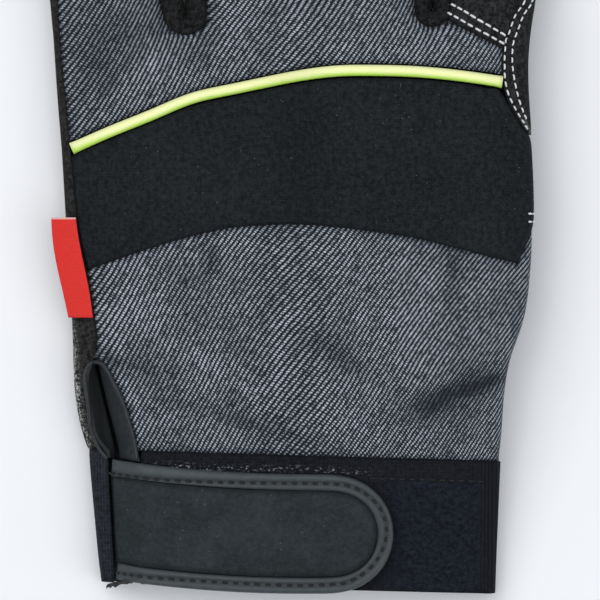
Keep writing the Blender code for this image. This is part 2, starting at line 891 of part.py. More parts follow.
def palm(finishes):
    """The palm with the fronts of the four fingers, and its turn-up along the thumb side."""
    hand = palm_plan()
    plans = [hand] + [finger_rows(index) for index in range(4)]
    plans[1][0][0] = hand[-1][0]
    plans[4][0][-1] = hand[-1][-1]
    grids = [[[palm_point(p.x, p.y, SUEDE_WALL) for p in row] for row in plan] for plan in plans]
    wrap = []
    for row in hand[: PALM_ROWS[0] + 1]:
        y = row[-1].y
        points = [palm_point(row[-1].x, y, SUEDE_WALL)]
        points += [thumb_side_point(y, turn, SUEDE_WALL) for turn in PALM_WRAP_TURNS]
        wrap.append(points)
    piece = shell("palm", grids + [wrap], finishes["suede"])
    cut_thumb_hole(piece)
    return piece


def roll_rows(line, reaches, wall):
    """Rows of a rolled side along a seam line, moved out by half a seam gap."""
    moved = offset_line(line, SEAM_GAP / 2)
    rows = []
    for seam, normal, reach in zip(moved, plan_normals(line), reaches):
        rows.append([roll_point(seam, normal, reach, turn, wall) for turn in ROLL_TURNS])
    return rows


def fourchettes(finishes):
    """The strips between neighbouring fingers, one round each gap, which they fill at its foot."""
    for index, crotch in enumerate(CROTCHES):
        line = gap_line(index)
        foot = len(right_line(index)) - 1
        full = wide(crotch.radius) - CROTCH_CREASE / 2
        reaches = []
        for k in range(len(line)):
            share = clamp((abs(k - foot) - CROTCH_STEPS) / (CROTCH_REACH_STEPS - CROTCH_STEPS))
            reaches.append(lerp(full, FINGER_ROLL, share))
        shell(crotch.name, [roll_rows(line, reaches, SUEDE_WALL)], finishes["suede"])


def left_rows():
    """The heights at which the back's panels have a row on the left seam, and so has the side strip."""
    heights = []
    for low, high, shares in (
        (lower_low, lower_high, lower_shares()),
        (band_bottom, band_top, band_shares()),
    ):
        heights += [between(low, high, share, panel_left).y for share in shares]
    return heights + [row[0].y for row in upper_plan()]


def outer_side(finishes):
    """The side strip of the little finger's side, from the wrist to the tip of the little finger."""
    heights = left_rows()
    heights[0] = lower_low(left_edge(heights[0]))
    rows = []
    for y in heights:
        row = []
        for turn in ROLL_TURNS:
            seam = (left_seam(y) if turn > 0 else palm_left(y)) - SEAM_GAP / 2
            reach = seam - left_edge(y)
            row.append(roll_point(Vector((seam, y)), Vector((-1, 0)), reach, turn, SUEDE_WALL))
        rows.append(row)
    line = left_line(0)[1:]
    foot_reach = left_seam(line[0].y) - left_edge(line[0].y)
    reaches = [lerp(foot_reach, LITTLE_ROLL, smooth(k / LITTLE_ROLL_STEPS)) for k in range(len(line))]
    return shell("outer_side", [rows + roll_rows(line, reaches, SUEDE_WALL)], finishes["suede"])


def thumb_saddle(finishes):
    """The thumb side's strip above the band, which is stitched down on the back beside the index finger."""
    feet = along(CROTCHES[0].along)
    heights = [lerp(along(SADDLE_FOOT), feet, k / PALM_ROWS[1]) for k in range(PALM_ROWS[1])]
    heights += [lerp(feet, along(FOOT_ALONG), k / CROTCH_STEPS) for k in range(CROTCH_STEPS)]
    rows = []
    for y in heights:
        inset = right_edge(y) - saddle_edge(y)
        points = []
        for share in SADDLE_SHARES:
            reach = max(inset * share - SEAM_GAP / 2, 0)
            if reach > THUMB_SIDE_ROLL:
                points.append(back_point(right_edge(y) - reach, y, SUEDE_WALL))
            else:
                turn = math.degrees(math.acos(1 - reach / THUMB_SIDE_ROLL))
                points.append(thumb_side_point(y, turn, SUEDE_WALL))
        points += [thumb_side_point(y, turn, SUEDE_WALL) for turn in SADDLE_TURNS]
        rows.append(points)
    line = right_line(3)[CROTCH_STEPS:]
    moved = offset_line(line, -SEAM_GAP / 2)
    turns = [math.degrees(math.acos(1 - share)) for share in SADDLE_SHARES] + list(SADDLE_TURNS)
    for seam, normal in zip(moved, plan_normals(line)):
        rows.append([roll_point(seam, -normal, THUMB_SIDE_ROLL, turn, SUEDE_WALL) for turn in turns])
    return shell("thumb_saddle", [rows], finishes["suede"])


def slit_row(y_at, left, right, crease):
    """One row of the slit's two faces: a bead at each lip and a slope down to the crease."""
    height = min(back_height(lip, y_at(lip)) for lip in (left, right)) - SLIT_DEPTH
    row = []
    for lip, edge in ((left, crease - SLIT_OPENING / 2), (right, crease + SLIT_OPENING / 2)):
        bead = lip + math.copysign(min(SLIT_BEAD, abs(edge - lip) / 2), edge - lip)
        low = Vector((edge, y_at(edge), height))
        row.append(
            [
                back_point(lip, y_at(lip), BINDING_WALL, SLIT_BEAD_RISE / 2),
                back_point(bead, y_at(bead), BINDING_WALL, SLIT_BEAD_RISE),
                (low, low - Vector((0, 0, BINDING_WALL))),
            ]
        )
    return row


def slit_binding(finishes):
    """The two smooth faces that slope into the wrist slit, joined at its top end."""
    heights = [y for y in left_rows() if along_share(y) < SLIT[-1].along - SLIT_END_MARGIN]
    cuff_left = elastic_lip(heights[0]) + SEAM_GAP
    rows = [slit_row(above_strap, cuff_left, across(CUFF_BACK_LEFT) - SEAM_GAP, slit_crease(heights[0]))]
    for y in heights:
        left = max(left_seam(y) + SEAM_GAP / 2, cuff_left if y == heights[0] else -math.inf)
        rows.append(slit_row(lambda x, y=y: y, left, slit_lip(y) - SEAM_GAP / 2, slit_crease(y)))
    tip_height = along(SLIT[-1].along)
    tip = back_point(left_seam(tip_height), tip_height, BINDING_WALL)
    faces = []
    for side in (0, 1):
        face = [row[side] for row in rows] + [[tip] * 3]
        faces.append(face if side == 0 else [list(reversed(points)) for points in face])
    top = [[rows[-1][1][2], tip], [rows[-1][0][2], tip]]
    return shell("slit_binding", faces + [top], finishes["binding"])


def piping(finishes):
    """The thin cord along the band's upper seam."""
    start = left_seam(along(BAND[0].high)) + SEAM_GAP
    end = saddle_edge(along(BAND[-1].high)) - SEAM_GAP
    columns = [lerp(start, end, k / PIPING_STEPS) for k in range(PIPING_STEPS + 1)]
    places = [Vector((x, band_high(x))) for x in columns]
    sections = []
    for place, normal in zip(places, plan_normals(places)):
        centre = Vector((place.x, place.y, back_height(place.x, place.y)))
        section = []
        for i in range(PIPING_SIDES):
            angle = 2 * math.pi * i / PIPING_SIDES
            out = normal * (math.cos(angle) * PIPING_DIAMETER / 2)
            section.append(centre + Vector((out.x, out.y, math.sin(angle) * PIPING_DIAMETER / 2)))
        sections.append(section)
    return swept("piping", sections, finishes["piping"])


def cuff_rows(points_at):
    """Rows of a cuff piece from the mouth to the wrist seam."""

    def y_of(share):
        return lambda x: lerp(wrist_y(x) - CUFF_LENGTH, wrist_y(x) - SEAM_GAP / 2, share)

    return [points_at(y_of(k / CUFF_ROWS)) for k in range(CUFF_ROWS + 1)]


def elastic_lip(y):
    """The X of the elastic's edge on the back, beside the slit."""
    return across(lerp(*CUFF_ELASTIC_LEFT, cuff_share(y)))


def cuff_roll(side, y_at, turn, wall):
    y = y_at(across(CUFF_EDGES[side]))
    outward = Vector((-1 if side == 0 else 1, 0))
    return roll_point(Vector((cuff_seam(side, y), y)), outward, CUFF_ROLL, turn, wall)


def cuff_back(finishes):
    """The back of the cuff, faced with loop cloth, which turns over the thumb side."""

    def points_at(y_at):
        end = cuff_seam(1, y_at(across(0))) - CUFF_ROLL / 3
        columns = [lerp(across(CUFF_BACK_LEFT), end, k / CUFF_COLUMNS) for k in range(CUFF_COLUMNS + 1)]
        points = [back_point(x, y_at(x), ELASTIC_WALL) for x in columns]
        return points + [cuff_roll(1, y_at, turn, ELASTIC_WALL) for turn in CUFF_BACK_TURNS]

    return shell("cuff_back", [cuff_rows(points_at)], finishes["loop"])


def cuff_elastic(finishes):
    """The elastic of the cuff: one edge on the back, the little finger's side and the whole underside."""

    def points_at(y_at):
        x = elastic_lip(y_at(across(CUFF_ELASTIC_LEFT[0])))
        points = [back_point(x, y_at(x), ELASTIC_WALL)]
        points += [cuff_roll(0, y_at, turn, ELASTIC_WALL) for turn in ROLL_TURNS]
        ends = [cuff_seam(side, y_at(across(0))) for side in (0, 1)]
        columns = [lerp(*ends, k / UNDERSIDE_COLUMNS) for k in range(1, UNDERSIDE_COLUMNS)]
        points += [palm_point(x, y_at(x), ELASTIC_WALL) for x in columns]
        return points + [cuff_roll(1, y_at, turn, ELASTIC_WALL) for turn in CUFF_ELASTIC_TURNS]

    return shell("cuff_elastic", [cuff_rows(points_at)], finishes["elastic"])


def strap_middle(x):
    """The Y of the strap's middle line, which rises towards its sewn end."""
    share = clamp((across(0) - x) / (across(0) - across(CUFF_ELASTIC_LEFT[0])))
    return along(0) - STRAP_DROP + STRAP_SLANT * share * share


def above_strap(x):
    """The Y just above the strap's upper edge."""
    return strap_middle(x) + STRAP_WIDTH / 2 + SEAM_GAP


def strap_underside(x, y):
    """The height of the strap's underside: level with the cuff at its sewn end, then clear of it."""
    climb = ramp(x, (across(CUFF_ELASTIC_LEFT[1]), across(STRAP_CLIMB_END)))
    clear = 2 * SEAM_GAP + HOOK_WALL
    inside_y = max(y, wrist_y(x) - CUFF_LENGTH)
    return back_height(x, inside_y) + lerp(-STRAP_WALL, clear, climb)


def strap_round_middle():
    """The X of the middle of the strap's round end."""
    return across(CUFF_ELASTIC_LEFT[0]) + STRAP_LENGTH - STRAP_WIDTH / 2


def strap_columns(offset):
    """The columns of a line along the strap at an offset from its middle, with two where it climbs."""
    start = elastic_lip(strap_middle(across(CUFF_ELASTIC_LEFT[0])) + offset) + STRAP_END_GAP
    ends = across(STRAP_CLIMB_END), strap_round_middle()
    columns = [lerp(*ends, k / STRAP_STEPS) for k in range(STRAP_STEPS + 1)]
    return [start, (start + ends[0]) / 2] + columns


def strap_body(finishes):
    """The strap's neoprene middle."""
    width = STRAP_WIDTH / 2 - STRAP_BINDING_WIDTH - SEAM_GAP
    shares = [lerp(-1, 1, k / STRAP_CELLS) for k in range(STRAP_CELLS + 1)]
    lines = [strap_columns(share * width) for share in shares]
    rows = [list(zip(columns, [width] * len(columns), shares)) for columns in zip(*lines)]
    for turn in STRAP_BODY_TURNS:
        angle = math.radians(turn)
        x = strap_round_middle() + width * math.sin(angle)
        rows.append([(x, width * math.cos(angle), share) for share in shares])
    grid = []
    for row in rows:
        points = []
        for x, half, share in row:
            y = strap_middle(x) + half * share
            low = Vector((x, y, strap_underside(x, y)))
            points.append((low + Vector((0, 0, STRAP_WALL)), low))
        grid.append(points)
    return shell("strap_body", [grid], finishes["neoprene"])


def strap_binding(finishes):
    """The folded leatherette edge round the strap."""
    offset = (STRAP_WIDTH - STRAP_BINDING_WIDTH) / 2
    end = Vector((strap_round_middle(), strap_middle(strap_round_middle())))
    path = [Vector((x, strap_middle(x) + offset)) for x in strap_columns(offset)]
    for turn in STRAP_EDGE_TURNS:
        angle = math.radians(turn)
        path.append(end + Vector((math.sin(angle), math.cos(angle))) * offset)
    path += [Vector((x, strap_middle(x) - offset)) for x in reversed(strap_columns(-offset))]
    sections = []
    for place, normal in zip(path, plan_normals(path)):
        base = strap_underside(place.x, place.y)
        section = []
        for out, up in BINDING_SECTION:
            spot = place + normal * out * STRAP_BINDING_WIDTH
            section.append(Vector((spot.x, spot.y, base + up * STRAP_BINDING_HEIGHT)))
        sections.append(section)
    return swept("strap_binding", sections, finishes["binding"])


def strap_hook(finishes):
    """The hook tape under the strap, whose corner shows below the sewn end."""
    half = STRAP_WIDTH / 2
    rows = []
    ends = across(STRAP_CLIMB_END), across(HOOK_END)
    for x in (lerp(*ends, k / STRAP_STEPS) for k in range(STRAP_STEPS + 1)):
        peek = ramp(x, (across(STRAP_CLIMB_END), across(HOOK_PEEK_END)))
        low_edge = lerp(-half - SLIT_BEAD, -half + STRAP_BINDING_WIDTH, peek)
        row = []
        for i in range(STRAP_CELLS + 1):
            y = strap_middle(x) + lerp(low_edge, half - STRAP_BINDING_WIDTH, i / STRAP_CELLS)
            top = Vector((x, y, strap_underside(x, y) - SEAM_GAP))
            row.append((top, top - Vector((0, 0, HOOK_WALL))))
        rows.append(row)
    return shell("strap_hook", [rows], finishes["hook"])


def side_label(finishes):
    """The folded woven label that sticks out of the little finger's side seam."""
    rows = []
    for k in range(LABEL_ROWS + 1):
        y = along(LABEL_TOP) - LABEL_LENGTH * (1 - k / LABEL_ROWS)
        bow = 1 + LABEL_BOW * math.sin(math.pi * k / LABEL_ROWS)
        seam = left_seam(y) - SEAM_GAP
        base = lift(seam, y) + side_height(seam, y) + LABEL_WALL + 2 * SEAM_GAP
        row = []
        for i in range(LABEL_COLUMNS + 1):
            share = 1 - i / LABEL_COLUMNS
            top = Vector((seam - LABEL_WIDTH * bow * share, y, base - LABEL_DROOP * share * share))
            row.append((top, top - Vector((0, 0, LABEL_WALL))))
        rows.append(row)
    return shell("side_label", [rows], finishes["label"])


def thumb_axis():
    """The middles of the thumb's root and of its tip, and the direction between them."""
    root = Vector((across(THUMB_ROOT[0]), along(THUMB_ROOT[1])))
    angle = math.radians(THUMB_ANGLE)
    direction = Vector((math.cos(angle), math.sin(angle)))
    return root, root + direction * THUMB_LENGTH, direction


def thumb_ring():
    """Points round the thumb's plan as (middle, radius, outward direction)."""
    root, tip, direction = thumb_axis()
    sideways = Vector((-direction.y, direction.x))
    turns = [math.pi * k / THUMB_END_STEPS for k in range(THUMB_END_STEPS + 1)]
    shares = [k / THUMB_SIDE_STEPS for k in range(1, THUMB_SIDE_STEPS)]

    def side(shares_along, outward):
        return [
            (root.lerp(tip, share), lerp(THUMB_ROOT_WIDTH, THUMB_TIP_WIDTH, share) / 2, outward)
            for share in shares_along
        ]

    ring = [(root, THUMB_ROOT_WIDTH / 2, sideways * math.cos(a) - direction * math.sin(a)) for a in turns]
    ring += side(shares, -sideways)
    ring += [(tip, THUMB_TIP_WIDTH / 2, direction * math.sin(a) - sideways * math.cos(a)) for a in turns]
    ring += side(reversed(shares), sideways)
    return ring + ring[:1]


def thumb_half(name, up, finish):
    """One half of the folded thumb, split at its mid height. up is 1 for the half against the palm.

    Its rows go from the split in over the rolled edge, at depths that are shares of the roll, to the middle.
    """
    ring = thumb_ring()
    half = (THUMB_HEIGHT - SEAM_GAP) / 2
    base = THUMB_HEIGHT / 2 + up * SEAM_GAP / 2
    rows = []
    for depth in (*THUMB_DEPTHS, None):
        row = []
        for centre, radius, outward in ring:
            inset = radius if depth is None else depth * THUMB_ROLL
            share = math.sqrt(1 - (1 - min(inset / THUMB_ROLL, 1)) ** 2)
            shift = SUEDE_WALL * (1 - share)
            outer = centre + outward * (radius - inset)
            inner = centre + outward * max(radius - inset - shift, 0)
            outer_z = base + up * half * share
            inner_z = base + up * (half - SUEDE_WALL) * share
            row.append((Vector((*outer, outer_z)), Vector((*inner, inner_z))))
        rows.append(row)
    return shell(name, [rows], finish)


def cut_thumb_hole(piece):
    """An upright oval hole where the hand's hollow meets the thumb's."""
    root, _, direction = thumb_axis()
    centre = root + direction * THUMB_HOLE_SHIFT
    sideways = Vector((-direction.y, direction.x))
    turns = [2 * math.pi * i / OVAL_SIDES for i in range(OVAL_SIDES)]
    sections = []
    for height in (THUMB_HEIGHT / 2 + SEAM_GAP, THUMB_HEIGHT + SIDE_HEIGHT / 2):
        section = []
        for turn in turns:
            place = centre + direction * (math.cos(turn) * THUMB_HOLE_LENGTH / 2)
            place = place + sideways * (math.sin(turn) * THUMB_HOLE_WIDTH / 2)
            section.append(Vector((*place, height)))
        sections.append(section)
    cutter = swept(piece.name + "_hole", sections, piece.data.materials[0])
    cutter.hide_render = True
    cutter.display_type = "WIRE"
    hole = piece.modifiers.new("Thumb hole", "BOOLEAN")
    hole.operation = "DIFFERENCE"
    hole.solver = "EXACT"
    hole.object = cutter


def thumb(finishes):
    """The two halves of the thumb. The one against the palm opens into the hand."""
    cut_thumb_hole(thumb_half("thumb_back", 1, finishes["suede"]))
    thumb_half("thumb_front", -1, finishes["suede"])


def build():
    for piece in list(bpy.data.objects):
        bpy.data.objects.remove(piece)
    finishes = build_materials()
    back_lower(finishes)
    knuckle_band(finishes)
    piping(finishes)
    back_upper(finishes)
    index_back(finishes)
    fourchettes(finishes)
    outer_side(finishes)
    thumb_saddle(finishes)
    slit_binding(finishes)
    side_label(finishes)
    palm(finishes)
    thumb(finishes)
    cuff_back(finishes)
    cuff_elastic(finishes)
    strap_hook(finishes)
    strap_body(finishes)
    strap_binding(finishes)


build()
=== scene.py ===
"""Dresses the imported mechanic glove: its cloths, seams, threads and labels, on a plain pale stage.

Every cloth piece starts from a fine copy of its CAD node, so it lies where the node lies. Places that
were read off the photograph are given in its pixels and are cast from the camera onto the cloth.
"""

import math
from functools import partial

import bmesh
import bpy
import numpy as np
from bpy.props import FloatProperty, FloatVectorProperty, IntProperty, PointerProperty
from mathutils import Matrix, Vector, noise
from mathutils.bvhtree import BVHTree
from mathutils.kdtree import KDTree


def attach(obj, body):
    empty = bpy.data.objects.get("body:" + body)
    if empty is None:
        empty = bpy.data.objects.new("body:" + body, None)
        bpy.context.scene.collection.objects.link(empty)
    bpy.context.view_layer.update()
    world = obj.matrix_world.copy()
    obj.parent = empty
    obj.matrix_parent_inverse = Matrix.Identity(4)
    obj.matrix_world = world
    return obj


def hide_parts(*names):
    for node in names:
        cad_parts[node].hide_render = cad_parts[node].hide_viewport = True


bl_info = {
    "name": "Mechanic glove dresser",
    "version": (1, 0, 0),
    "blender": (4, 5, 0),
    "location": "View3D > Sidebar > Glove",
    "description": "Dresses the packed mechanic glove with cloth, seams and threads",
    "category": "Object",
}

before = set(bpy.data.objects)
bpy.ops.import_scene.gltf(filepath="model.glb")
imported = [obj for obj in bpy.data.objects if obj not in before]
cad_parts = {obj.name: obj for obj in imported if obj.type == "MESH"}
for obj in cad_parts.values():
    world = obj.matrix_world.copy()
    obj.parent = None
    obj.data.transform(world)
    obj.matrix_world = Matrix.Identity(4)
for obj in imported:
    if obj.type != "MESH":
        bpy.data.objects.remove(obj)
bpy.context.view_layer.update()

# The photograph's frame: its middle over the glove, and the level at which its scale was measured
FRAME_PIXELS = 600
FRAME_WIDTH = 0.1464
FRAME_MIDDLE = (0.0256, 0.0)
FRAME_LEVEL = 0.010
PIXEL = FRAME_WIDTH / FRAME_PIXELS

# The wrist seam, which falls towards the thumb side, as in the CAD source
WRIST_Y = -0.0378
WRIST_SKEW = 0.028

# Pieces that are sewn to each other, whose gaps are drawn together: the hand with its cuff, and the
# strap. Of two neighbours at the same distance the first in this order counts.
HAND = (
    "back_lower", "back_upper", "knuckle_band", "index_back",
    "fourchette_little_ring", "fourchette_ring_middle", "fourchette_middle_index",
    "outer_side", "thumb_saddle", "palm", "thumb_back", "thumb_front",
    "cuff_back", "cuff_elastic", "slit_binding",
)
STRAP = ("strap_body", "strap_binding")

# How near a sewn neighbour lies, how far the two pieces then overlap, and what counts as touching
SEAM_REACH = 0.0013
SEAM_OVERLAP = 0.00004
TOUCHING = 1e-6
# The bend at a wall's rim, at a rim's corner and at an edge that stays sharp
RIM_ANGLE = math.radians(55)
CORNER_ANGLE = math.radians(35)
SHARP_ANGLE = math.radians(48)
# When two loose triangles of a CAD node are joined, and its doubled points merged
JOIN_BEND = math.radians(45)
JOIN_SHAPE = math.radians(70)
MERGE_DISTANCE = 2e-6

MM = 0.001


def tree_of(node):
    """A search tree over a CAD node's surface."""
    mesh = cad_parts[node].data
    points = [v.co.copy() for v in mesh.vertices]
    return BVHTree.FromPolygons(points, [tuple(p.vertices) for p in mesh.polygons])


TREES = {node: tree_of(node) for node in HAND + STRAP}
DRESSED = {}


def settings():
    """The sizes and colours that the sidebar shows."""
    return bpy.context.scene.glove_look


# Materials


# How dark each finish shows before it is rendered
VIEWPORT_COLOUR = (0.1, 0.1, 0.1, 1)


def add_node(tree, kind, **choices):
    """A new node with its choices set."""
    node = tree.nodes.new(kind)
    for key, value in choices.items():
        setattr(node, key, value)
    return node


class Wire:
    """A number that runs through a material's nodes and can be reckoned with."""

    def __init__(self, recipe, socket):
        self.recipe = recipe
        self.socket = socket

    def __add__(self, other):
        return self.recipe.reckon("ADD", self, other)

    def __sub__(self, other):
        return self.recipe.reckon("SUBTRACT", self, other)

    def __rsub__(self, other):
        return self.recipe.reckon("SUBTRACT", other, self)

    def __mul__(self, other):
        return self.recipe.reckon("MULTIPLY", self, other)

    def cosine(self):
        return self.recipe.reckon("COSINE", self)

    def power(self, exponent):
        return self.recipe.reckon("POWER", self, exponent)

    def at_least(self, other):
        return self.recipe.reckon("MAXIMUM", self, other)

    def at_most(self, other):
        return self.recipe.reckon("MINIMUM", self, other)

    def step(self, low, high):
        """0 below low and 1 above high, with a soft change between them. low may be the larger."""
        node = self.recipe.add("ShaderNodeMapRange", interpolation_type="SMOOTHSTEP")
        self.recipe.set(node, 0, self)
        for index, value in enumerate((low, high, 0.0, 1.0), 1):
            self.recipe.set(node, index, value)
        return Wire(self.recipe, node.outputs[0])


class Recipe:
    """A material that is put together from nodes, one after another."""

    def __init__(self, name):
        self.material = bpy.data.materials.new(name)
        self.material.use_nodes = True
        self.tree = self.material.node_tree
        self.shader = self.tree.nodes["Principled BSDF"]
        self.spot = self.place()

    def add(self, kind, **choices):
        """A new node of this material."""
        return add_node(self.tree, kind, **choices)

    def set(self, node, key, value):
        """Joins a wire to a node's socket, or gives the socket a constant."""
        if isinstance(value, Wire):
            self.tree.links.new(value.socket, node.inputs[key])
        else:
            node.inputs[key].default_value = value

    def reckon(self, operation, *values):
        """The result of a sum on wires and numbers."""
        node = self.add("ShaderNodeMath", operation=operation)
        for index, value in enumerate(values):
            self.set(node, index, value)
        return Wire(self, node.outputs[0])

    def place(self, scale=(1000, 1000, 1000), turn=0.0):
        """The place on the piece, in millimetres unless scaled otherwise, after a turn about Z."""
        node = self.add("ShaderNodeMapping")
        coordinates = self.add("ShaderNodeTexCoord")
        self.tree.links.new(coordinates.outputs["Object"], node.inputs["Vector"])
        self.set(node, "Scale", scale)
        self.set(node, "Rotation", (0, 0, turn))
        return Wire(self, node.outputs[0])

    def parts(self):
        """The X, Y and Z of the place on the piece, in millimetres."""
        node = self.add("ShaderNodeSeparateXYZ")
        self.set(node, 0, self.spot)
        return [Wire(self, socket) for socket in node.outputs]

    def noise(self, scale, detail=2.0, roughness=0.5, vector=None):
        """Soft noise from 0 to 1 about 0.5, at the place on the piece or at a vector."""
        node = self.add("ShaderNodeTexNoise")
        self.set(node, "Vector", vector or self.spot)
        self.set(node, "Scale", scale)
        self.set(node, "Detail", detail)
        self.set(node, "Roughness", roughness)
        return Wire(self, node.outputs[0])

    def streaks(self, x, y, detail=2.0, roughness=0.5):
        """Noise over two numbers, which stretch it."""
        node = self.add("ShaderNodeCombineXYZ")
        self.set(node, 0, x)
        self.set(node, 1, y)
        return self.noise(1.0, detail, roughness, Wire(self, node.outputs[0]))

    def cells(self, scale):
        """The distance to the nearest of many scattered points."""
        node = self.add("ShaderNodeTexVoronoi")
        self.set(node, "Vector", self.spot)
        self.set(node, "Scale", scale)
        return Wire(self, node.outputs["Distance"])

    def specks(self, scale, edge, patch, share):
        """Round specks with an edge between two distances, in patches of a noise between two shares."""
        return self.cells(scale).step(*edge) * self.noise(patch, 1.0).step(*share)

    def attribute(self, name):
        """A value that the mesh keeps at each of its points."""
        node = self.add("ShaderNodeAttribute", attribute_name=name)
        return Wire(self, node.outputs["Fac"])

    def mix(self, start, end, share):
        """A colour between two colours."""
        node = self.add("ShaderNodeMix", data_type="RGBA", clamp_factor=True)
        self.set(node, 0, share)
        self.set(node, 6, start if isinstance(start, Wire) else (*start, 1))
        self.set(node, 7, end if isinstance(end, Wire) else (*end, 1))
        return Wire(self, node.outputs[2])

    def paint_seam_shade_and_dirt(self, colour, dark, reach, share):
        """Mixes a share of a dark colour in at the piece's rim, which fades over a reach in millimetres:
        painted shade in the seam, with some dirt.
        """
        return self.mix(dark, colour, self.attribute("seam").step(0.0, reach) * share + (1 - share))

    def finish(self, colour, roughness, height=None, depth=0.0002, shine=0.5):
        """Joins colour, roughness, relief and shine to the shader and returns the material."""
        self.set(self.shader, "Base Color", colour)
        self.set(self.shader, "Roughness", roughness)
        if height is not None:
            node = self.add("ShaderNodeBump")
            self.set(node, "Strength", 1.0)
            self.set(node, "Distance", depth)
            self.set(node, "Height", height)
            self.tree.links.new(node.outputs[0], self.shader.inputs["Normal"])
        self.set(self.shader, "Specular IOR Level", shine)
        self.material.diffuse_color = VIEWPORT_COLOUR
        return self.material


def wave(value, pitch):
    """A wave from 0 to 1 that repeats each pitch."""
    return (value * (2 * math.pi / pitch)).cosine() * 0.5 + 0.5


def dimmed(colour, share):
    """A colour with each channel cut to a share."""
    return tuple(channel * share for channel in colour)


# How far from their middle the ribs bow, in millimetres; further on they run straight
BOW_REACH = 32.0
# How far the ribs and the yarn points move for each millimetre of height on the glove's side walls
WALL_SLANT = 0.35
WALL_RUN = 0.6


def denim_finish(name, lean, bow, middle):
    """Indigo twill with pale yarn points along slanting ribs.

    lean is the ribs' angle in degrees where they are straight, at their middle, and bow bends them.
    """
    look = settings()
    recipe = Recipe(name)
    x, y, z = recipe.parts()
    angle = math.radians(lean)
    along = x * math.cos(angle) + y * math.sin(angle) - z * WALL_RUN
    across = x * math.sin(angle) - y * math.cos(angle) - z * WALL_SLANT
    sway = recipe.streaks(along * 0.032, across * 0.012, 1.0) - 0.5
    ripple = recipe.noise(0.40, 1.0) - 0.5
    off = along - middle
    held = off.at_least(-BOW_REACH).at_most(BOW_REACH)
    across = across - held * (off * 2.0 - held) * bow + sway * 1.5 + ripple * 0.22
    rib = wave(across, look.twill_pitch / MM)
    jitter = recipe.noise(0.9, 1.0) - 0.5
    bead = wave(along + jitter * 0.5, look.yarn_pitch / MM)
    slub = recipe.streaks(across * 0.95, along * 0.42, 2.0, 0.6)
    grit = recipe.noise(2.1, 2.0, 0.7)
    cloud = recipe.noise(0.085, 3.0, 0.6)
    shade = rib.power(1.7) * (bead * 1.06 + 0.04)
    shade = shade * (slub.step(0.30, 0.66) * 0.95 + 0.50)
    shade = (shade * (grit.step(0.36, 0.64) * 1.55 + 0.25)).at_most(0.90)
    shade = shade * (cloud.step(0.25, 0.75) * 0.46 + 0.77)
    # Painted shade in the seam, with some dirt, within 1.6 mm of the panel's rim
    shade = shade * (recipe.attribute("seam").step(0.0, 1.6) * 0.45 + 0.55)
    # Painted shade of the folds where a mark is dark, paler where its strength is negative
    shade = shade * (1.0 - recipe.attribute("worn")).at_least(0.12)
    colour = recipe.mix(tuple(look.denim_dark), tuple(look.denim_light), shade)
    relief = rib * 0.7 + bead * rib * 0.3 + grit * 0.25
    return recipe.finish(colour, 0.86, relief, 0.00020, shine=0.12)


def knit_finish():
    """Fine black knit with faint courses and a few pale specks of lint."""
    recipe = Recipe("knit")
    x, y, _ = recipe.parts()
    course = wave(y + (recipe.noise(0.3) - 0.5) * 0.4, 0.62)
    wale = wave(x, 0.62)
    fuzz = recipe.noise(0.9, 5.0, 0.85)
    streak = recipe.streaks(x * 1.1, y * 0.25, 2.0)
    cloud = recipe.noise(0.05, 2.0)
    tone = course * wale * 0.25 + fuzz.step(0.36, 0.64) * 0.65 + streak * 0.40 + cloud * 0.35 - 0.40
    colour = recipe.mix((0.0042, 0.0055, 0.0063), (0.0195, 0.0232, 0.0262), tone)
    lint = recipe.specks(0.60, (0.090, 0.035), 0.19, (0.42, 0.56))
    colour = recipe.mix(colour, (0.20, 0.23, 0.25), lint * 0.5)
    # Painted shade in the seam, with some dirt, at the band's rim
    colour = recipe.paint_seam_shade_and_dirt(colour, (0.003, 0.0035, 0.004), 1.0, 0.6)
    relief = course * wale * 0.5 + fuzz * 0.5
    return recipe.finish(colour, 0.85, relief, 0.00010, shine=0.10)


def suede_finish(name, tone, warmth=1.0):
    """Black synthetic suede with a short brushed nap."""
    recipe = Recipe(name)
    nap = recipe.noise(0.95, 5.0, 0.8)
    brush = recipe.noise(0.28, 3.0, 0.6)
    cloud = recipe.noise(0.07, 2.0)
    share = nap.step(0.38, 0.64) * 0.85 + brush * 0.45 + cloud * 0.25 - 0.38
    dark = (0.0050 * tone * warmth, 0.0052 * tone, 0.0052 * tone / warmth)
    light = (0.0350 * tone * warmth, 0.0356 * tone, 0.0361 * tone / warmth)
    colour = recipe.mix(dark, light, share)
    fleck = recipe.specks(0.9, (0.16, 0.06), 0.4, (0.44, 0.60))
    colour = recipe.mix(colour, (0.16, 0.16, 0.15), fleck * 0.5)
    frost = recipe.noise(1.2, 3.0, 0.8).step(0.47, 0.60) * recipe.attribute("worn")
    colour = recipe.mix(colour, (0.55, 0.55, 0.53), frost)
    # Painted shade in the seam, with some dirt, at the suede's rim
    colour = recipe.paint_seam_shade_and_dirt(colour, dark, 0.9, 0.55)
    return recipe.finish(colour, 0.92, nap * 0.6 + brush, 0.00022, shine=0.10)


def elastic_finish():
    """Black elastic with upright ribs and a navy cast."""
    recipe = Recipe("elastic")
    x, y, z = recipe.parts()
    course = wave(y, 0.98)
    rib = wave(x + z, 1.05)
    fuzz = recipe.noise(0.9, 4.0, 0.75)
    tone = rib * (course * 0.45 + 0.45) * 0.6 + fuzz.step(0.30, 0.70) * 0.6 - 0.02
    colour = recipe.mix((0.0040, 0.0048, 0.0062), (0.0290, 0.0330, 0.0420), tone)
    # Painted shade in the seam, with some dirt, at the elastic's rim
    colour = recipe.paint_seam_shade_and_dirt(colour, (0.003, 0.0035, 0.0045), 1.0, 0.6)
    return recipe.finish(colour, 0.85, course * rib * 0.8 + fuzz * 0.5, 0.00025, shine=0.10)


# Millimetres on the cuff between which one cloth passes into the next: the hem's depth below the wrist
# seam, and the start of the loop cloth and of the ribbed fold along X
HEM_DEPTH = (5.9, 5.3)
LOOPS_START = (44.0, 54.0)
CUFF_FOLD = (68.0, 71.0)


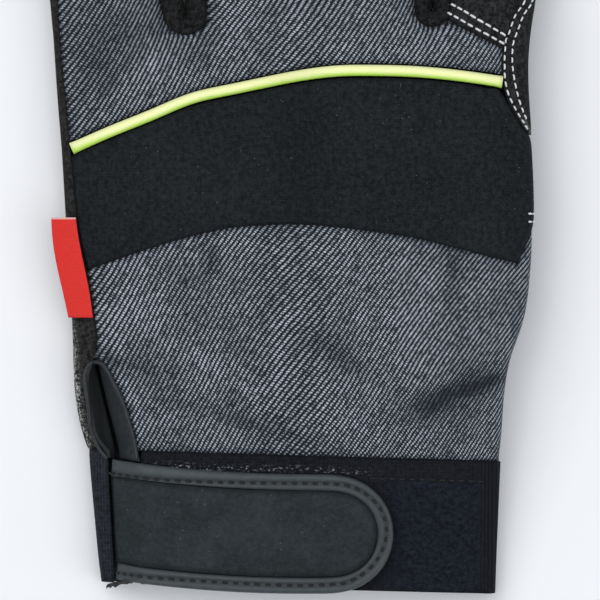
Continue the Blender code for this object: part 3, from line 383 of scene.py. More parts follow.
def loop_finish():
    """The cuff's facing: a plain hem, navy loop cloth below it, and a ribbed fold at the thumb side."""
    recipe = Recipe("loop_cloth")
    x, y, _ = recipe.parts()
    below_seam = (WRIST_Y / MM) - (x - FRAME_MIDDLE[0] / MM) * WRIST_SKEW - y
    pile = recipe.noise(0.95, 5.0, 0.8)
    slant = recipe.noise(1.0, 2.0, 0.6, recipe.place(turn=math.radians(35), scale=(300, 1300, 1000)))
    fuzz = pile.step(0.28, 0.74)
    loops = recipe.mix((0.0038, 0.0048, 0.0072), (0.0160, 0.0195, 0.0285), fuzz + slant * 0.8 - 0.46)
    hem_rib = wave(x, 1.1) * wave(y, 0.8)
    hem = recipe.mix((0.0040, 0.0045, 0.0058), (0.0180, 0.0205, 0.0265), hem_rib * 0.2 + fuzz * 0.65 - 0.02)
    fold = recipe.mix((0.0034, 0.0038, 0.0048), (0.0160, 0.0180, 0.0225), wave(x, 0.9) * 0.4 + fuzz * 0.4)
    in_fold = x.step(*CUFF_FOLD)
    colour = recipe.mix(hem, loops, x.step(*LOOPS_START))
    colour = recipe.mix(colour, hem, below_seam.step(*HEM_DEPTH))
    colour = recipe.mix(colour, fold, in_fold)
    lint = recipe.streaks(x * 0.9, y * 1.8, 3.0, 0.8).step(0.55, 0.64)
    colour = recipe.mix(colour, (0.42, 0.44, 0.46), lint * recipe.attribute("worn"))
    # Painted shade in the seam, with some dirt, at the facing's rim
    colour = recipe.paint_seam_shade_and_dirt(colour, (0.002, 0.0022, 0.003), 0.9, 0.5)
    relief = pile * 0.8 + wave(x, 0.9) * in_fold * 0.6
    return recipe.finish(colour, 0.9, relief, 0.00030, shine=0.08)


def leatherette_finish(name, dark, light):
    """Smooth dark grey leatherette with a fine grain and soft scuffs, and painted shade where it is marked.
    """
    recipe = Recipe(name)
    grain = recipe.cells(2.2)
    scuff = recipe.noise(0.5, 4.0, 0.65)
    colour = recipe.mix(dark, light, scuff * 1.1 - 0.05)
    # Painted shade in the seam, with some dirt, at the leatherette's rim
    colour = recipe.paint_seam_shade_and_dirt(colour, dark, 0.8, 0.5)
    # Painted shade in the strap's sewn groove and on the slit's left lip
    groove = recipe.attribute("worn")
    colour = recipe.mix(colour, dimmed(dark, 0.35), groove * 0.55)
    return recipe.finish(colour, 0.55, grain * 0.5 + scuff * 0.4, 0.00006, shine=0.28)


def neoprene_finish():
    """Foam rubber faced with fine dark cloth."""
    recipe = Recipe("neoprene")
    x, y, _ = recipe.parts()
    weave = wave(x, 0.55) * wave(y, 0.55)
    fuzz = recipe.noise(0.85, 5.0, 0.8)
    cloud = recipe.noise(0.10, 3.0, 0.6)
    tone = fuzz.step(0.30, 0.72) * 0.55 + weave * 0.12 + cloud.step(0.3, 0.7) * 0.3 - 0.05
    colour = recipe.mix((0.0115, 0.0150, 0.0165), (0.0345, 0.0420, 0.0455), tone)
    lint = recipe.specks(0.6, (0.13, 0.05), 0.2, (0.5, 0.6))
    colour = recipe.mix(colour, (0.13, 0.155, 0.16), lint * 0.6)
    # Painted shade in the seam, with some dirt, at the neoprene's rim
    colour = recipe.paint_seam_shade_and_dirt(colour, (0.0075, 0.0095, 0.0105), 1.8, 0.6)
    return recipe.finish(colour, 0.85, fuzz * 0.6 + weave * 0.3, 0.00020, shine=0.12)


def piping_finish():
    """Lime vinyl-coated cord with a painted highlight, paler, where it faces up the hand and painted shade,
    greener, below.
    """
    look = settings()
    recipe = Recipe("lime_piping")
    cloud = recipe.noise(0.25, 2.0)
    wrinkle = recipe.noise(1.0, 3.0, 0.6, recipe.place(scale=(900, 2600, 1000)))
    pale = tuple(look.piping)
    # A shaded copy of the lime, for the painted shade on the cord's lower side
    deep = (pale[0] * 0.60, pale[1] * 0.90, pale[2] * 0.24)
    # Painted light by the side the cord faces, with some random tone
    upward = recipe.attribute("worn") + (cloud - 0.5) * 0.25 + (wrinkle - 0.5) * 0.15
    colour = recipe.mix(deep, pale, upward.step(0.05, 0.50))
    return recipe.finish(colour, 0.5, wrinkle, 0.00005, shine=0.3)


# Where the label's pale selvedge begins and is full, in millimetres along Y
SELVEDGE = (19.55, 19.85)


def label_finish():
    """Red satin label with a fine weave and a pale selvedge."""
    look = settings()
    recipe = Recipe("red_label")
    x, y, _ = recipe.parts()
    weft = wave(y, 0.42)
    warp = wave(x, 0.36)
    fuzz = recipe.noise(1.6, 3.0, 0.6)
    bright = tuple(look.label)
    colour = recipe.mix(dimmed(bright, 0.72), bright, weft * 0.25 + warp * 0.15 + fuzz * 0.7)
    colour = recipe.mix(colour, (0.75, 0.42, 0.40), y.step(*SELVEDGE))
    return recipe.finish(colour, 0.65, weft * warp, 0.00008, shine=0.15)


def hook_finish():
    """Black tape with short bristles."""
    recipe = Recipe("hook_tape")
    bristle = recipe.cells(1.4)
    fuzz = recipe.noise(1.2, 3.0)
    colour = recipe.mix((0.002, 0.002, 0.002), (0.030, 0.030, 0.032), fuzz * 1.2 - bristle * 0.5)
    return recipe.finish(colour, 0.6, bristle, 0.0003)


def thread_finish(name, dark, light):
    """Twisted sewing thread."""
    recipe = Recipe(name)
    x, y, z = recipe.parts()
    twist = wave(x + y * 1.3 + z * 0.7, 0.34)
    fuzz = recipe.noise(3.0, 2.0)
    colour = recipe.mix(dark, light, twist * 0.5 + fuzz * 0.6)
    return recipe.finish(colour, 0.7, twist, 0.00005)


def floor_finish():
    """The plain pale floor, very slightly clouded."""
    look = settings()
    recipe = Recipe("studio_floor")
    cloud = recipe.noise(0.02, 2.0)
    bright = tuple(look.floor)
    colour = recipe.mix(dimmed(bright, 0.985), bright, cloud)
    return recipe.finish(colour, 0.75, shine=0.2)


# Cloth pieces


def clean_copy(node):
    """A CAD node's mesh with its loose triangles merged into quads."""
    work = bmesh.new()
    work.from_mesh(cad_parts[node].data)
    bmesh.ops.remove_doubles(work, verts=work.verts, dist=MERGE_DISTANCE)
    bmesh.ops.join_triangles(
        work, faces=work.faces, angle_face_threshold=JOIN_BEND, angle_shape_threshold=JOIN_SHAPE
    )
    return work


def mark_rims(work):
    """Creases the sharp edges of a wall's rim, keeps its sharp corners and returns its points."""
    crease = work.edges.layers.float.new("crease_edge")
    corner = work.verts.layers.float.new("crease_vert")
    rim = work.verts.layers.float.new("rim")
    spokes = {}
    for edge in work.edges:
        if len(edge.link_faces) == 2 and edge.calc_face_angle() > RIM_ANGLE:
            edge[crease] = 1.0
            for point in edge.verts:
                spokes.setdefault(point, []).append((edge.other_vert(point).co - point.co).normalized())
    for point, ways in spokes.items():
        point[rim] = 1.0
        if len(ways) == 2 and ways[0].angle(-ways[1]) > CORNER_ANGLE:
            point[corner] = 1.0
    return set(spokes)


def close_seams(points, node):
    """Moves a rim's points half way to the piece that they are sewn to."""
    others = [other for group in (HAND, STRAP) if node in group for other in group if other != node]
    moves = []
    for point in points:
        best = None
        for other in others:
            hit, _, _, distance = TREES[other].find_nearest(point.co, SEAM_REACH)
            if hit is not None and (best is None or distance < best[0]):
                best = (distance, hit)
        if best is not None and best[0] > TOUCHING:
            way = best[1] - point.co
            moves.append((point, way * 0.5 + way.normalized() * SEAM_OVERLAP))
    for point, move in moves:
        point.co += move


def evaluated_copy(piece):
    """The piece's mesh with its modifiers applied, in place of its own."""
    graph = bpy.context.evaluated_depsgraph_get()
    made = bpy.data.meshes.new_from_object(piece.evaluated_get(graph), depsgraph=graph)
    piece.modifiers.clear()
    old = piece.data
    piece.data = made
    bpy.data.meshes.remove(old)
    made.name = piece.name


def link(name, data):
    """A new object in the scene, at its origin."""
    made = bpy.data.objects.new(name, data)
    bpy.context.scene.collection.objects.link(made)
    return made


def points_of(mesh):
    """The mesh's points, a row for each."""
    flat = np.empty(len(mesh.vertices) * 3)
    mesh.vertices.foreach_get("co", flat)
    return flat.reshape(-1, 3)


def move_points(mesh, points):
    """Moves the mesh's points to new places."""
    mesh.vertices.foreach_set("co", points.ravel())
    mesh.update()


def skin_normals(mesh, rim):
    """The normals of a shell's two skins, without the turn at its rims."""
    total = np.zeros((len(mesh.vertices), 3))
    whole = np.zeros((len(mesh.vertices), 3))
    for polygon in mesh.polygons:
        corners = list(polygon.vertices)
        normal = np.array(polygon.normal) * polygon.area
        whole[corners] += normal
        if not all(rim[corner] for corner in corners):
            total[corners] += normal
    lone = (total**2).sum(1) < 1e-18
    total[lone] = whole[lone]
    return total / np.maximum(np.linalg.norm(total, axis=1, keepdims=True), 1e-12)


def rim_distances(points, rim):
    """How far each point is from the piece's rim, in millimetres."""
    ends = points[rim]
    tree = KDTree(len(ends))
    for index, end in enumerate(ends):
        tree.insert(end, index)
    tree.balance()
    return np.array([tree.find(point)[2] for point in points]) / MM


def keep_value(mesh, name, values):
    """Keeps a value for each point, for the materials to read."""
    attribute = mesh.attributes.new(name, "FLOAT", "POINT")
    attribute.data.foreach_set("value", np.asarray(values, np.float32))


def gentle_noise(points, size, seed):
    """Soft noise from -1 to 1 with bumps of about a size."""
    shift = Vector((seed * 7.3, seed * 3.1, seed * 5.7))
    return np.array([noise.noise(Vector(point) / size + shift) for point in points])


def pixel_plan(px, py):
    """The plan place of a photograph pixel at the level of the frame's scale."""
    half = FRAME_PIXELS / 2
    return FRAME_MIDDLE[0] + (px - half) * PIXEL, FRAME_MIDDLE[1] + (half - py) * PIXEL


def bell(points, centre, angle, length, width):
    """A soft mark on the plan, 1 in its middle, given in pixels, and how far each point is to its side."""
    x, y = pixel_plan(*centre)
    turn = math.radians(angle)
    dx, dy = points[:, 0] - x, points[:, 1] - y
    lengthwise = (dx * math.cos(turn) + dy * math.sin(turn)) / (length * PIXEL)
    sideways = (dy * math.cos(turn) - dx * math.sin(turn)) / (width * PIXEL)
    return np.exp(-(lengthwise**2) - sideways**2), sideways


# Fine folds of the denim in pixels: centre, angle, half length and half width, and depth in millimetres
CREASE_LEAN = 0.7
CREASES = [
    ((345, 361), -33, 48, 5.0, 0.40),
    ((404, 403), -40, 26, 5.0, 0.35),
    ((456, 391), 18, 46, 9.5, 0.95),
    ((452, 388), 24, 22, 5.0, 0.35),
    ((492, 384), 30, 12, 5.0, 0.40),
    ((262, 419), -12, 80, 6.0, 0.25),
    ((140, 366), -14, 38, 9.0, 0.30),
    ((447, 270), 85, 24, 7.0, 0.30),
    ((448, 440), -70, 16, 5.0, 0.28),
    ((462, 436), -62, 18, 5.0, 0.34),
    ((478, 432), -58, 18, 5.0, 0.34),
    ((491, 428), -52, 16, 4.5, 0.30),
    ((104, 352), 62, 22, 6.0, 0.25),
    ((118, 376), 66, 22, 6.0, 0.20),
    ((462, 300), 62, 40, 9.0, 0.16),
    ((232, 150), 60, 60, 14.0, 0.12),
    ((410, 110), 55, 50, 12.0, 0.12),
]
# Soft marks in the same pixels, the last number their strength: painted shade of the folds on the
# denim, where a negative strength is paler, and pale fraying on the other pieces
MARKS = {
    "denim_lower": [
        ((458, 390), 18, 48, 13.5, 0.74),
        ((490, 381), 22, 20, 9, 0.35),
        ((426, 410), 25, 22, 10, 0.42),
        ((460, 412), 10, 50, 22, 0.14),
        ((342, 356), -32, 38, 12, 0.52),
        ((452, 273), 85, 26, 9, 0.52),
        ((212, 258), 85, 18, 7, 0.50),
        ((187, 281), 30, 12, 8, 0.26),
        ((104, 352), -35, 14, 7, 0.40),
        ((140, 368), -14, 42, 12, 0.52),
        ((238, 419), -15, 82, 7, 0.50),
        ((226, 374), -37, 62, 11, -0.34),
        ((126, 314), 60, 34, 24, -0.46),
        ((412, 330), 60, 36, 16, -0.22),
        ((506, 320), 70, 20, 8, -0.12),
        ((228, 395), 10, 12, 8, 0.20),
    ],
    "denim_upper": [
        ((104, 42), 60, 50, 32, 0.56),
        ((152, 66), 55, 34, 10, -0.46),
        ((106, 92), 55, 28, 7, 0.40),
        ((92, 112), 58, 26, 7, -0.30),
        ((88, 122), 60, 14, 6, 0.20),
        ((204, 56), 80, 16, 8, 0.32),
        ((230, 34), 75, 30, 8, -0.24),
        ((300, 20), 70, 26, 12, -0.08),
    ],
    "side_strip": [
        ((72, 350), -88, 26, 4.0, 0.9),
        ((76, 395), -82, 30, 4.5, 1.0),
        ((86, 440), -70, 14, 4, 0.6),
    ],
    "loop_facing": [
        ((185, 466), -3, 34, 2.6, 0.9),
        ((262, 468), 0, 60, 2.4, 0.8),
        ((340, 470), -4, 26, 2.4, 0.7),
    ],
    "saddle_suede": [((527, 130), -60, 14, 2.5, 0.5)],
}


def crease_depths(points):
    """How far the fine folds sink the cloth, in metres."""
    sunk = np.zeros(len(points))
    for centre, angle, length, width, depth in CREASES:
        mark, sideways = bell(points, centre, angle, length, width)
        sunk += depth * MM * mark * (1 + CREASE_LEAN * sideways)
    return sunk


# The share of a rim that makes a point part of it, the cloth's outside, which isn't turned down
# further than this, its waves' size, how far in the rim is drawn, how far from the rim the waves and
# the folds are full, in millimetres, and the folds' share at the rim
RIM_SHARE = 0.999
OUTSIDE = -0.15
WOBBLE_SIZE = 0.008
PINCH_WIDTH = 0.9
WOBBLE_RISE = 2.0
FOLD_RISE = 1.5
RIM_FOLD = 0.1


def dress(name, node, slot, finish, levels=2, raised=0.0, pinch=0.0003, wobble=0.0, folds=False):
    """A fine copy of a CAD node's cloth, drawn together at its seams, which stands for the node."""
    work = clean_copy(node)
    rim_points = mark_rims(work)
    close_seams(rim_points, node)
    mesh = bpy.data.meshes.new(name)
    work.to_mesh(mesh)
    work.free()
    mesh.materials.clear()
    mesh.materials.append(finish)
    piece = link(name, mesh)
    smooth = piece.modifiers.new("Smooth", "SUBSURF")
    smooth.levels = levels
    smooth.render_levels = levels
    evaluated_copy(piece)
    mesh = piece.data
    points = points_of(mesh)
    share = np.empty(len(points))
    mesh.attributes["rim"].data.foreach_get("value", share)
    rim = share > RIM_SHARE
    normals = skin_normals(mesh, rim)
    distance = rim_distances(points, rim)
    outside = normals[:, 2] > OUTSIDE
    points = points - normals * (pinch * np.exp(-distance / PINCH_WIDTH))[:, None]
    if raised:
        points = points + normals * (raised * outside)[:, None]
    if wobble:
        waves = gentle_noise(points, WOBBLE_SIZE, 1)
        points[:, 2] += wobble * waves * np.minimum(distance / WOBBLE_RISE, 1)
    if folds:
        points[:, 2] -= crease_depths(points) * np.minimum(distance / FOLD_RISE + RIM_FOLD, 1)
    move_points(mesh, points)
    keep_value(mesh, "seam", distance)
    # Painted fold shade and paler patches on the denim, pale fraying on the other pieces
    worn = np.zeros(len(points))
    for centre, angle, length, width, depth in MARKS.get(name, ()):
        worn += depth * bell(points, centre, angle, length, width)[0]
    keep_value(mesh, "worn", np.minimum(worn, 1) * outside)
    mesh.shade_smooth()
    mesh.set_sharp_from_angle(angle=SHARP_ANGLE)
    mesh.update()
    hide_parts(node)
    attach(piece, "root")
    DRESSED[name] = piece
    return piece


# The swelling of the strips between the fingers: how far up it reaches, in what steps it is measured,
# where it rises and where it fades, in millimetres, the half crease that stays, the most that it adds,
# how deep it spreads, and the heights at which the gap is measured
GAP_REACH = 40
GAP_STEP = 0.5
GAP_RISE = 0.8
GAP_FADE = 18
GAP_CREASE = 0.00003
GAP_MOST = 0.0032
GAP_SPREAD = 0.0046
GAP_LEVELS = [level * MM for level in range(2, 20, 2)]


def close_gap(piece, middle, slant, foot):
    """Swells the strips between two fingers until only a crease is left between them."""
    tree = surface_tree([piece])
    points = points_of(piece.data)
    beyond = (points[:, 1] - foot) / MM
    side = points[:, 0] - middle - slant * (points[:, 1] - foot)
    steps = np.arange(0, GAP_REACH, GAP_STEP)
    fade = np.clip(steps / GAP_RISE, 0, 1) * np.clip((GAP_REACH - steps) / GAP_FADE, 0, 1)
    for sign in (-1, 1):
        gaps = []
        for step in steps:
            x = middle + slant * step * MM
            widths = [GAP_MOST]
            for level in GAP_LEVELS:
                start = Vector((x, foot + step * MM, level))
                hit, normal, _, distance = tree.ray_cast(start, Vector((sign, 0, 0)), GAP_MOST)
                if hit is not None and normal.x * sign < 0:
                    widths.append(distance)
            gaps.append(min(widths))
        push = np.maximum(np.array(gaps) - GAP_CREASE, 0) * fade
        off = side * sign
        here = np.interp(beyond, steps, push, left=0, right=0) * (off > 0)
        points[:, 0] -= sign * here * np.exp(-((off / GAP_SPREAD) ** 2))
    move_points(piece.data, points)


def set_painted_light(piece, values):
    """Puts painted light and shade in the place of the marks that the piece was dressed with."""
    piece.data.attributes["worn"].data.foreach_set("value", np.asarray(values, np.float32))


# Stitches

# A stitch's middle stands this share of its width above the cloth, and its ends dive and taper by these
STITCH_LIFT = 0.34
STITCH_DIVE = 0.75
STITCH_TAPER = 0.28
# A normal that points further down than this is turned over
STITCH_TURN = -0.2
# How much shorter than the others a stitch may be, and the seed of that
STITCH_UNEVEN = 0.12
STITCH_SEED = 3
# How far a bead's middle stands off the cloth, as a share of its radius, and how its ends narrow
BEAD_LIFT = 0.25
BEAD_ENDS = (0.75, 0.87)
# A bead has no rim, so it counts as this far from one, in millimetres
BEAD_SEAM = 3.0
# What the stitch nodes are given
STITCH_INPUTS = {
    "Geometry": "Geometry",
    "Pitch": "Float",
    "Stitch": "Object",
    "Thread": "Material",
    "Unevenness": "Float",
    "Seed": "Int",
}
# Into how many steps a groove's row is cut between two places, and how upright the cloth is that it marks
GROOVE_STEPS = 6
GROOVE_FACING = 0.3


def surface_tree(pieces):
    """One search tree over several dressed pieces."""
    points, faces = [], []
    for piece in pieces:
        start = len(points)
        points += [v.co.copy() for v in piece.data.vertices]
        faces += [tuple(corner + start for corner in p.vertices) for p in piece.data.polygons]
    return BVHTree.FromPolygons(points, faces)


def cast(tree, px, py):
    """Where the camera's line through a photograph pixel meets the cloth, and the cloth's normal."""
    eye = Vector((*FRAME_MIDDLE, settings().camera_height))
    aim = Vector((*pixel_plan(px, py), FRAME_LEVEL))
    hit, normal, _, _ = tree.ray_cast(eye, (aim - eye).normalized())
    return hit, normal


def finer(points, gap=3.0):
    """A polyline with points added so that none are further apart than the gap, smoothed at its corners."""
    made = []
    last = len(points) - 1
    for k in range(last):
        p0, p1, p2, p3 = (Vector(points[max(0, min(last, k + i))]) for i in (-1, 0, 1, 2))
        count = max(1, math.ceil((p2 - p1).length / gap))
        for i in range(count):
            t = i / count
            a = (2 * p1) + (p2 - p0) * t
            b = (2 * p0 - 5 * p1 + 4 * p2 - p3) * t * t
            c = (3 * p1 - p0 - 3 * p2 + p3) * t**3
            made.append((a + b + c) / 2)
    return made + [Vector(points[last])]


def tube(name, rings):
    """The mesh of a closed tube through rings of as many points each."""
    sides = len(rings[0])
    points = [tuple(point) for ring in rings for point in ring]
    faces = []
    for first in range(0, len(points) - sides, sides):
        for i in range(sides):
            j = (i + 1) % sides
            faces.append((first + i, first + j, first + sides + j, first + sides + i))
    faces += [tuple(range(sides)), tuple(range(len(points) - sides, len(points)))]
    mesh = bpy.data.meshes.new(name)
    mesh.from_pydata(points, [], faces)
    work = bmesh.new()
    work.from_mesh(mesh)
    bmesh.ops.recalc_face_normals(work, faces=work.faces)
    work.to_mesh(mesh)
    work.free()
    mesh.shade_smooth()
    return mesh


def stitch_shape(name, length, width, sides=6, count=7):
    """One stitch: a thread that rises out of the cloth and dives into it again."""
    rings = []
    for k in range(count):
        along = 2 * k / (count - 1) - 1
        rise = width * (STITCH_LIFT - STITCH_DIVE * along**4)
        radius = width / 2 * (1 - STITCH_TAPER * along**4)
        turns = [-2 * math.pi * i / sides for i in range(sides)]
        rings.append(
            [(along * length / 2, math.cos(t) * radius, rise + math.sin(t) * radius) for t in turns]
        )
    return link(name, tube(name, rings))


def stitch_tree():
    """Geometry nodes that lay a stitch at each pitch along a line, upright on the cloth."""
    tree = bpy.data.node_groups.new("Stitch rows", "GeometryNodeTree")
    for name, kind in STITCH_INPUTS.items():
        tree.interface.new_socket(name=name, in_out="INPUT", socket_type="NodeSocket" + kind)
    tree.interface.new_socket(name="Geometry", in_out="OUTPUT", socket_type="NodeSocketGeometry")
    add, join = partial(add_node, tree), tree.links.new
    start, end = add("NodeGroupInput"), add("NodeGroupOutput")
    curve = add("GeometryNodeMeshToCurve")
    spaced = add("GeometryNodeResampleCurve", mode="LENGTH")
    tangent = add("GeometryNodeInputTangent")
    upright = add("GeometryNodeInputNamedAttribute", data_type="FLOAT_VECTOR")
    upright.inputs["Name"].default_value = "up"
    lengthwise = add("FunctionNodeAlignRotationToVector", axis="X")
    standing = add("FunctionNodeAlignRotationToVector", axis="Z", pivot_axis="X")
    shape = add("GeometryNodeObjectInfo")
    vary = add("FunctionNodeRandomValue", data_type="FLOAT")
    least = add("ShaderNodeMath", operation="SUBTRACT")
    least.inputs[0].default_value = 1.0
    place = add("GeometryNodeInstanceOnPoints")
    real = add("GeometryNodeRealizeInstances")
    coat = add("GeometryNodeSetMaterial")
    join(start.outputs["Geometry"], curve.inputs[0])
    join(curve.outputs[0], spaced.inputs["Curve"])
    join(start.outputs["Pitch"], spaced.inputs["Length"])
    join(tangent.outputs[0], lengthwise.inputs["Vector"])
    join(lengthwise.outputs[0], standing.inputs["Rotation"])
    join(upright.outputs["Attribute"], standing.inputs["Vector"])
    join(start.outputs["Stitch"], shape.inputs["Object"])
    join(start.outputs["Unevenness"], least.inputs[1])
    join(least.outputs[0], vary.inputs["Min"])
    join(start.outputs["Seed"], vary.inputs["Seed"])
    join(spaced.outputs[0], place.inputs["Points"])
    join(shape.outputs["Geometry"], place.inputs["Instance"])
    join(standing.outputs[0], place.inputs["Rotation"])
    join(vary.outputs["Value"], place.inputs["Scale"])
    join(place.outputs[0], real.inputs[0])
    join(real.outputs[0], coat.inputs["Geometry"])
    join(start.outputs["Thread"], coat.inputs["Material"])
    join(coat.outputs[0], end.inputs[0])
    return tree


def lay_stitches(name, slot, rows, pitch, length, width, finish):
    """Lays stitches along rows of (place, normal) points, as one plain mesh."""
    points, ups, edges = [], [], []
    for row in rows:
        row = [(place, normal) for place, normal in row if place is not None]
        for k, (place, normal) in enumerate(row):
            if k:
                edges.append((len(points) - 1, len(points)))
            points.append(place)
            ups.append(normal if normal.z > STITCH_TURN else -normal)
    mesh = bpy.data.meshes.new(name)
    mesh.from_pydata([tuple(p) for p in points], edges, [])
    attribute = mesh.attributes.new("up", "FLOAT_VECTOR", "POINT")
    attribute.data.foreach_set("vector", np.array([tuple(up) for up in ups], np.float32).ravel())
    piece = link(name, mesh)
    shape = stitch_shape(name + "_shape", length, width)
    tree = stitch_tree()
    laid = piece.modifiers.new("Stitches", "NODES")
    laid.node_group = tree
    values = {"Pitch": pitch, "Stitch": shape, "Thread": finish}
    values |= {"Unevenness": STITCH_UNEVEN, "Seed": STITCH_SEED}
    for item in tree.interface.items_tree:
        if item.in_out == "INPUT" and item.name in values:
            laid[item.identifier] = values[item.name]
    evaluated_copy(piece)
    shape_mesh = shape.data
    bpy.data.objects.remove(shape)
    bpy.data.meshes.remove(shape_mesh)
    bpy.data.node_groups.remove(tree)
    piece.data.shade_smooth()
    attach(piece, "root")


def lay_bead(name, row, radius, finish, sides=10, rounds=3):
    """Lays a rolled bead of cloth along a row of (place, normal) points, smoothed in a few rounds."""
    spots = np.array([place + normal * radius * BEAD_LIFT for place, normal in row if place is not None])
    for _ in range(rounds):
        spots[1:-1] = (spots[:-2] + 2 * spots[1:-1] + spots[2:]) / 4
    rings = []
    for k, (spot, tangent) in enumerate(zip(spots, np.gradient(spots, axis=0))):
        ahead = Vector(tangent).normalized()
        across = ahead.cross(Vector((0, 0, 1))).normalized()
        upward = across.cross(ahead)
        end = min(k, len(spots) - 1 - k)
        here = radius * (BEAD_ENDS[end] if end < len(BEAD_ENDS) else 1.0)
        turns = [2 * math.pi * i / sides for i in range(sides)]
        rings.append([Vector(spot) + (across * math.cos(t) + upward * math.sin(t)) * here for t in turns])
    mesh = tube(name, rings)
    mesh.materials.append(finish)
    keep_value(mesh, "seam", np.full(len(mesh.vertices), BEAD_SEAM))
    keep_value(mesh, "worn", np.zeros(len(mesh.vertices)))
    piece = link(name, mesh)
    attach(piece, "root")


def sink_row(piece, row, depth, width):
    """Presses a sewn groove into a dressed piece along a row of points and marks it with painted shade."""
    spots = [place for place, _ in row if place is not None]
    tree = KDTree(len(spots) * GROOVE_STEPS)
    count = 0
    for start, end in zip(spots, spots[1:]):
        for i in range(GROOVE_STEPS):
            tree.insert(start.lerp(end, i / GROOVE_STEPS), count)
            count += 1
    tree.balance()
    points = points_of(piece.data)
    mark = np.array([math.exp(-((tree.find(point)[2] / width) ** 2)) for point in points])
    mark *= np.array([vertex.normal.z > GROOVE_FACING for vertex in piece.data.vertices])
    points[:, 2] -= depth * mark
    move_points(piece.data, points)
    # Painted shade along the sewn groove
    set_painted_light(piece, mark)


def photo_row(tree, pixels):
    """The places on the cloth along a row of photograph pixels, each with the cloth's normal."""
    return [cast(tree, *point) for point in finer(pixels)]


# Settings


class GloveLook(bpy.types.PropertyGroup):
    """Sizes and colours of the glove's finishes and of the stage."""

    denim_light: FloatVectorProperty(
        name="Denim light",
        description="Colour of the denim's pale yarn points",
        subtype="COLOR", default=(0.465, 0.510, 0.572), min=0, max=1,
    )
    denim_dark: FloatVectorProperty(
        name="Denim dark",
        description="Colour of the denim's indigo between its ribs",
        subtype="COLOR", default=(0.0062, 0.0082, 0.0112), min=0, max=1,
    )
    piping: FloatVectorProperty(
        name="Piping",
        description="Colour of the lime piping",
        subtype="COLOR", default=(0.80, 0.82, 0.40), min=0, max=1,
    )
    label: FloatVectorProperty(
        name="Label",
        description="Colour of the side label",
        subtype="COLOR", default=(0.72, 0.033, 0.026), min=0, max=1,
    )
    thread: FloatVectorProperty(
        name="Thread",
        description="Colour of the white sewing thread",
        subtype="COLOR", default=(0.78, 0.79, 0.80), min=0, max=1,
    )
    floor: FloatVectorProperty(
        name="Floor",
        description="Colour of the surface that the glove lies on",
        subtype="COLOR", default=(0.80, 0.80, 0.81), min=0, max=1,
    )
    twill_pitch: FloatProperty(
        name="Twill pitch",
        description="Distance between two ribs of the denim",
        unit="LENGTH", default=0.00102, min=0.0003, max=0.005,
    )
    yarn_pitch: FloatProperty(
        name="Yarn pitch",
        description="Distance between two yarn points along a rib",
        unit="LENGTH", default=0.00052, min=0.0002, max=0.005,
    )
    stitch_pitch: FloatProperty(
        name="Stitch pitch",
        description="Distance between two white stitches",
        unit="LENGTH", default=0.0021, min=0.001, max=0.01,
    )
    thread_width: FloatProperty(
        name="Thread width",
        description="Thickness of the sewing thread",
        unit="LENGTH", default=0.00052, min=0.0001, max=0.002,
    )
    camera_height: FloatProperty(
        name="Camera height",
        description="Height of the camera above the floor",
        unit="LENGTH", default=2.0, min=0.3, max=10,
    )
    denim_levels: IntProperty(
        name="Denim levels",
        description="How often the denim's mesh is subdivided",
        default=3, min=1, max=4,
    )


# Operators


# The denim panels: piece, CAD node, and the lean, bow and middle of their ribs
DENIM_PANELS = (
    ("denim_lower", "back_lower", 54, 0.0028, 12.0),
    ("denim_upper", "back_upper", 55, 0.0014, 60.0),
)


class GLOVE_OT_denim(bpy.types.Operator):
    """Make the two denim panels of the back"""

    bl_idname = "glove.denim"
    bl_label = "Denim back"

    def execute(self, context):
        levels = settings().denim_levels
        for name, node, *ribs in DENIM_PANELS:
            finish = denim_finish(name + "_finish", *ribs)
            dress(name, node, "denim", finish, levels, wobble=0.00035, pinch=0.00045, folds=True)
        return {"FINISHED"}


# The band's corner under the piping's end, in pixels with an angle and two half widths, how far it is
# drawn up the hand, and the height from which it is
BAND_CORNER = ((496, 99), -20, 11, 9)
BAND_CORNER_LIFT = 0.0018
BAND_LEVEL = 0.010


class GLOVE_OT_band(bpy.types.Operator):
    """Make the knit band over the knuckles"""

    bl_idname = "glove.band"
    bl_label = "Knuckle band"

    def execute(self, context):
        sizes = {"raised": 0.0003, "pinch": 0.0005, "wobble": 0.00025}
        piece = dress("knit_band", "knuckle_band", "knit", knit_finish(), 3, **sizes)
        points = points_of(piece.data)
        points[:, 1] += BAND_CORNER_LIFT * bell(points, *BAND_CORNER)[0] * (points[:, 2] > BAND_LEVEL)
        move_points(piece.data, points)
        return {"FINISHED"}


class GLOVE_OT_piping(bpy.types.Operator):
    """Make the lime piping along the band"""

    bl_idname = "glove.piping"
    bl_label = "Piping"

    def execute(self, context):
        piece = dress("lime_cord", "piping", "piping", piping_finish(), pinch=0.0)
        # Painted light: a painted highlight where the cord faces up the hand, painted shade below
        set_painted_light(piece, [0.5 + 0.5 * vertex.normal.y for vertex in piece.data.vertices])
        return {"FINISHED"}


# The strips between the fingers, and where their gap is: its middle in X at its foot, its slant, and
# its foot in Y
GUSSETS = (
    ("little_ring", -0.0021, -0.15, 0.0690),
    ("ring_middle", 0.0278, 0.0, 0.0800),
    ("middle_index", 0.0579, 0.02, 0.0700),
)


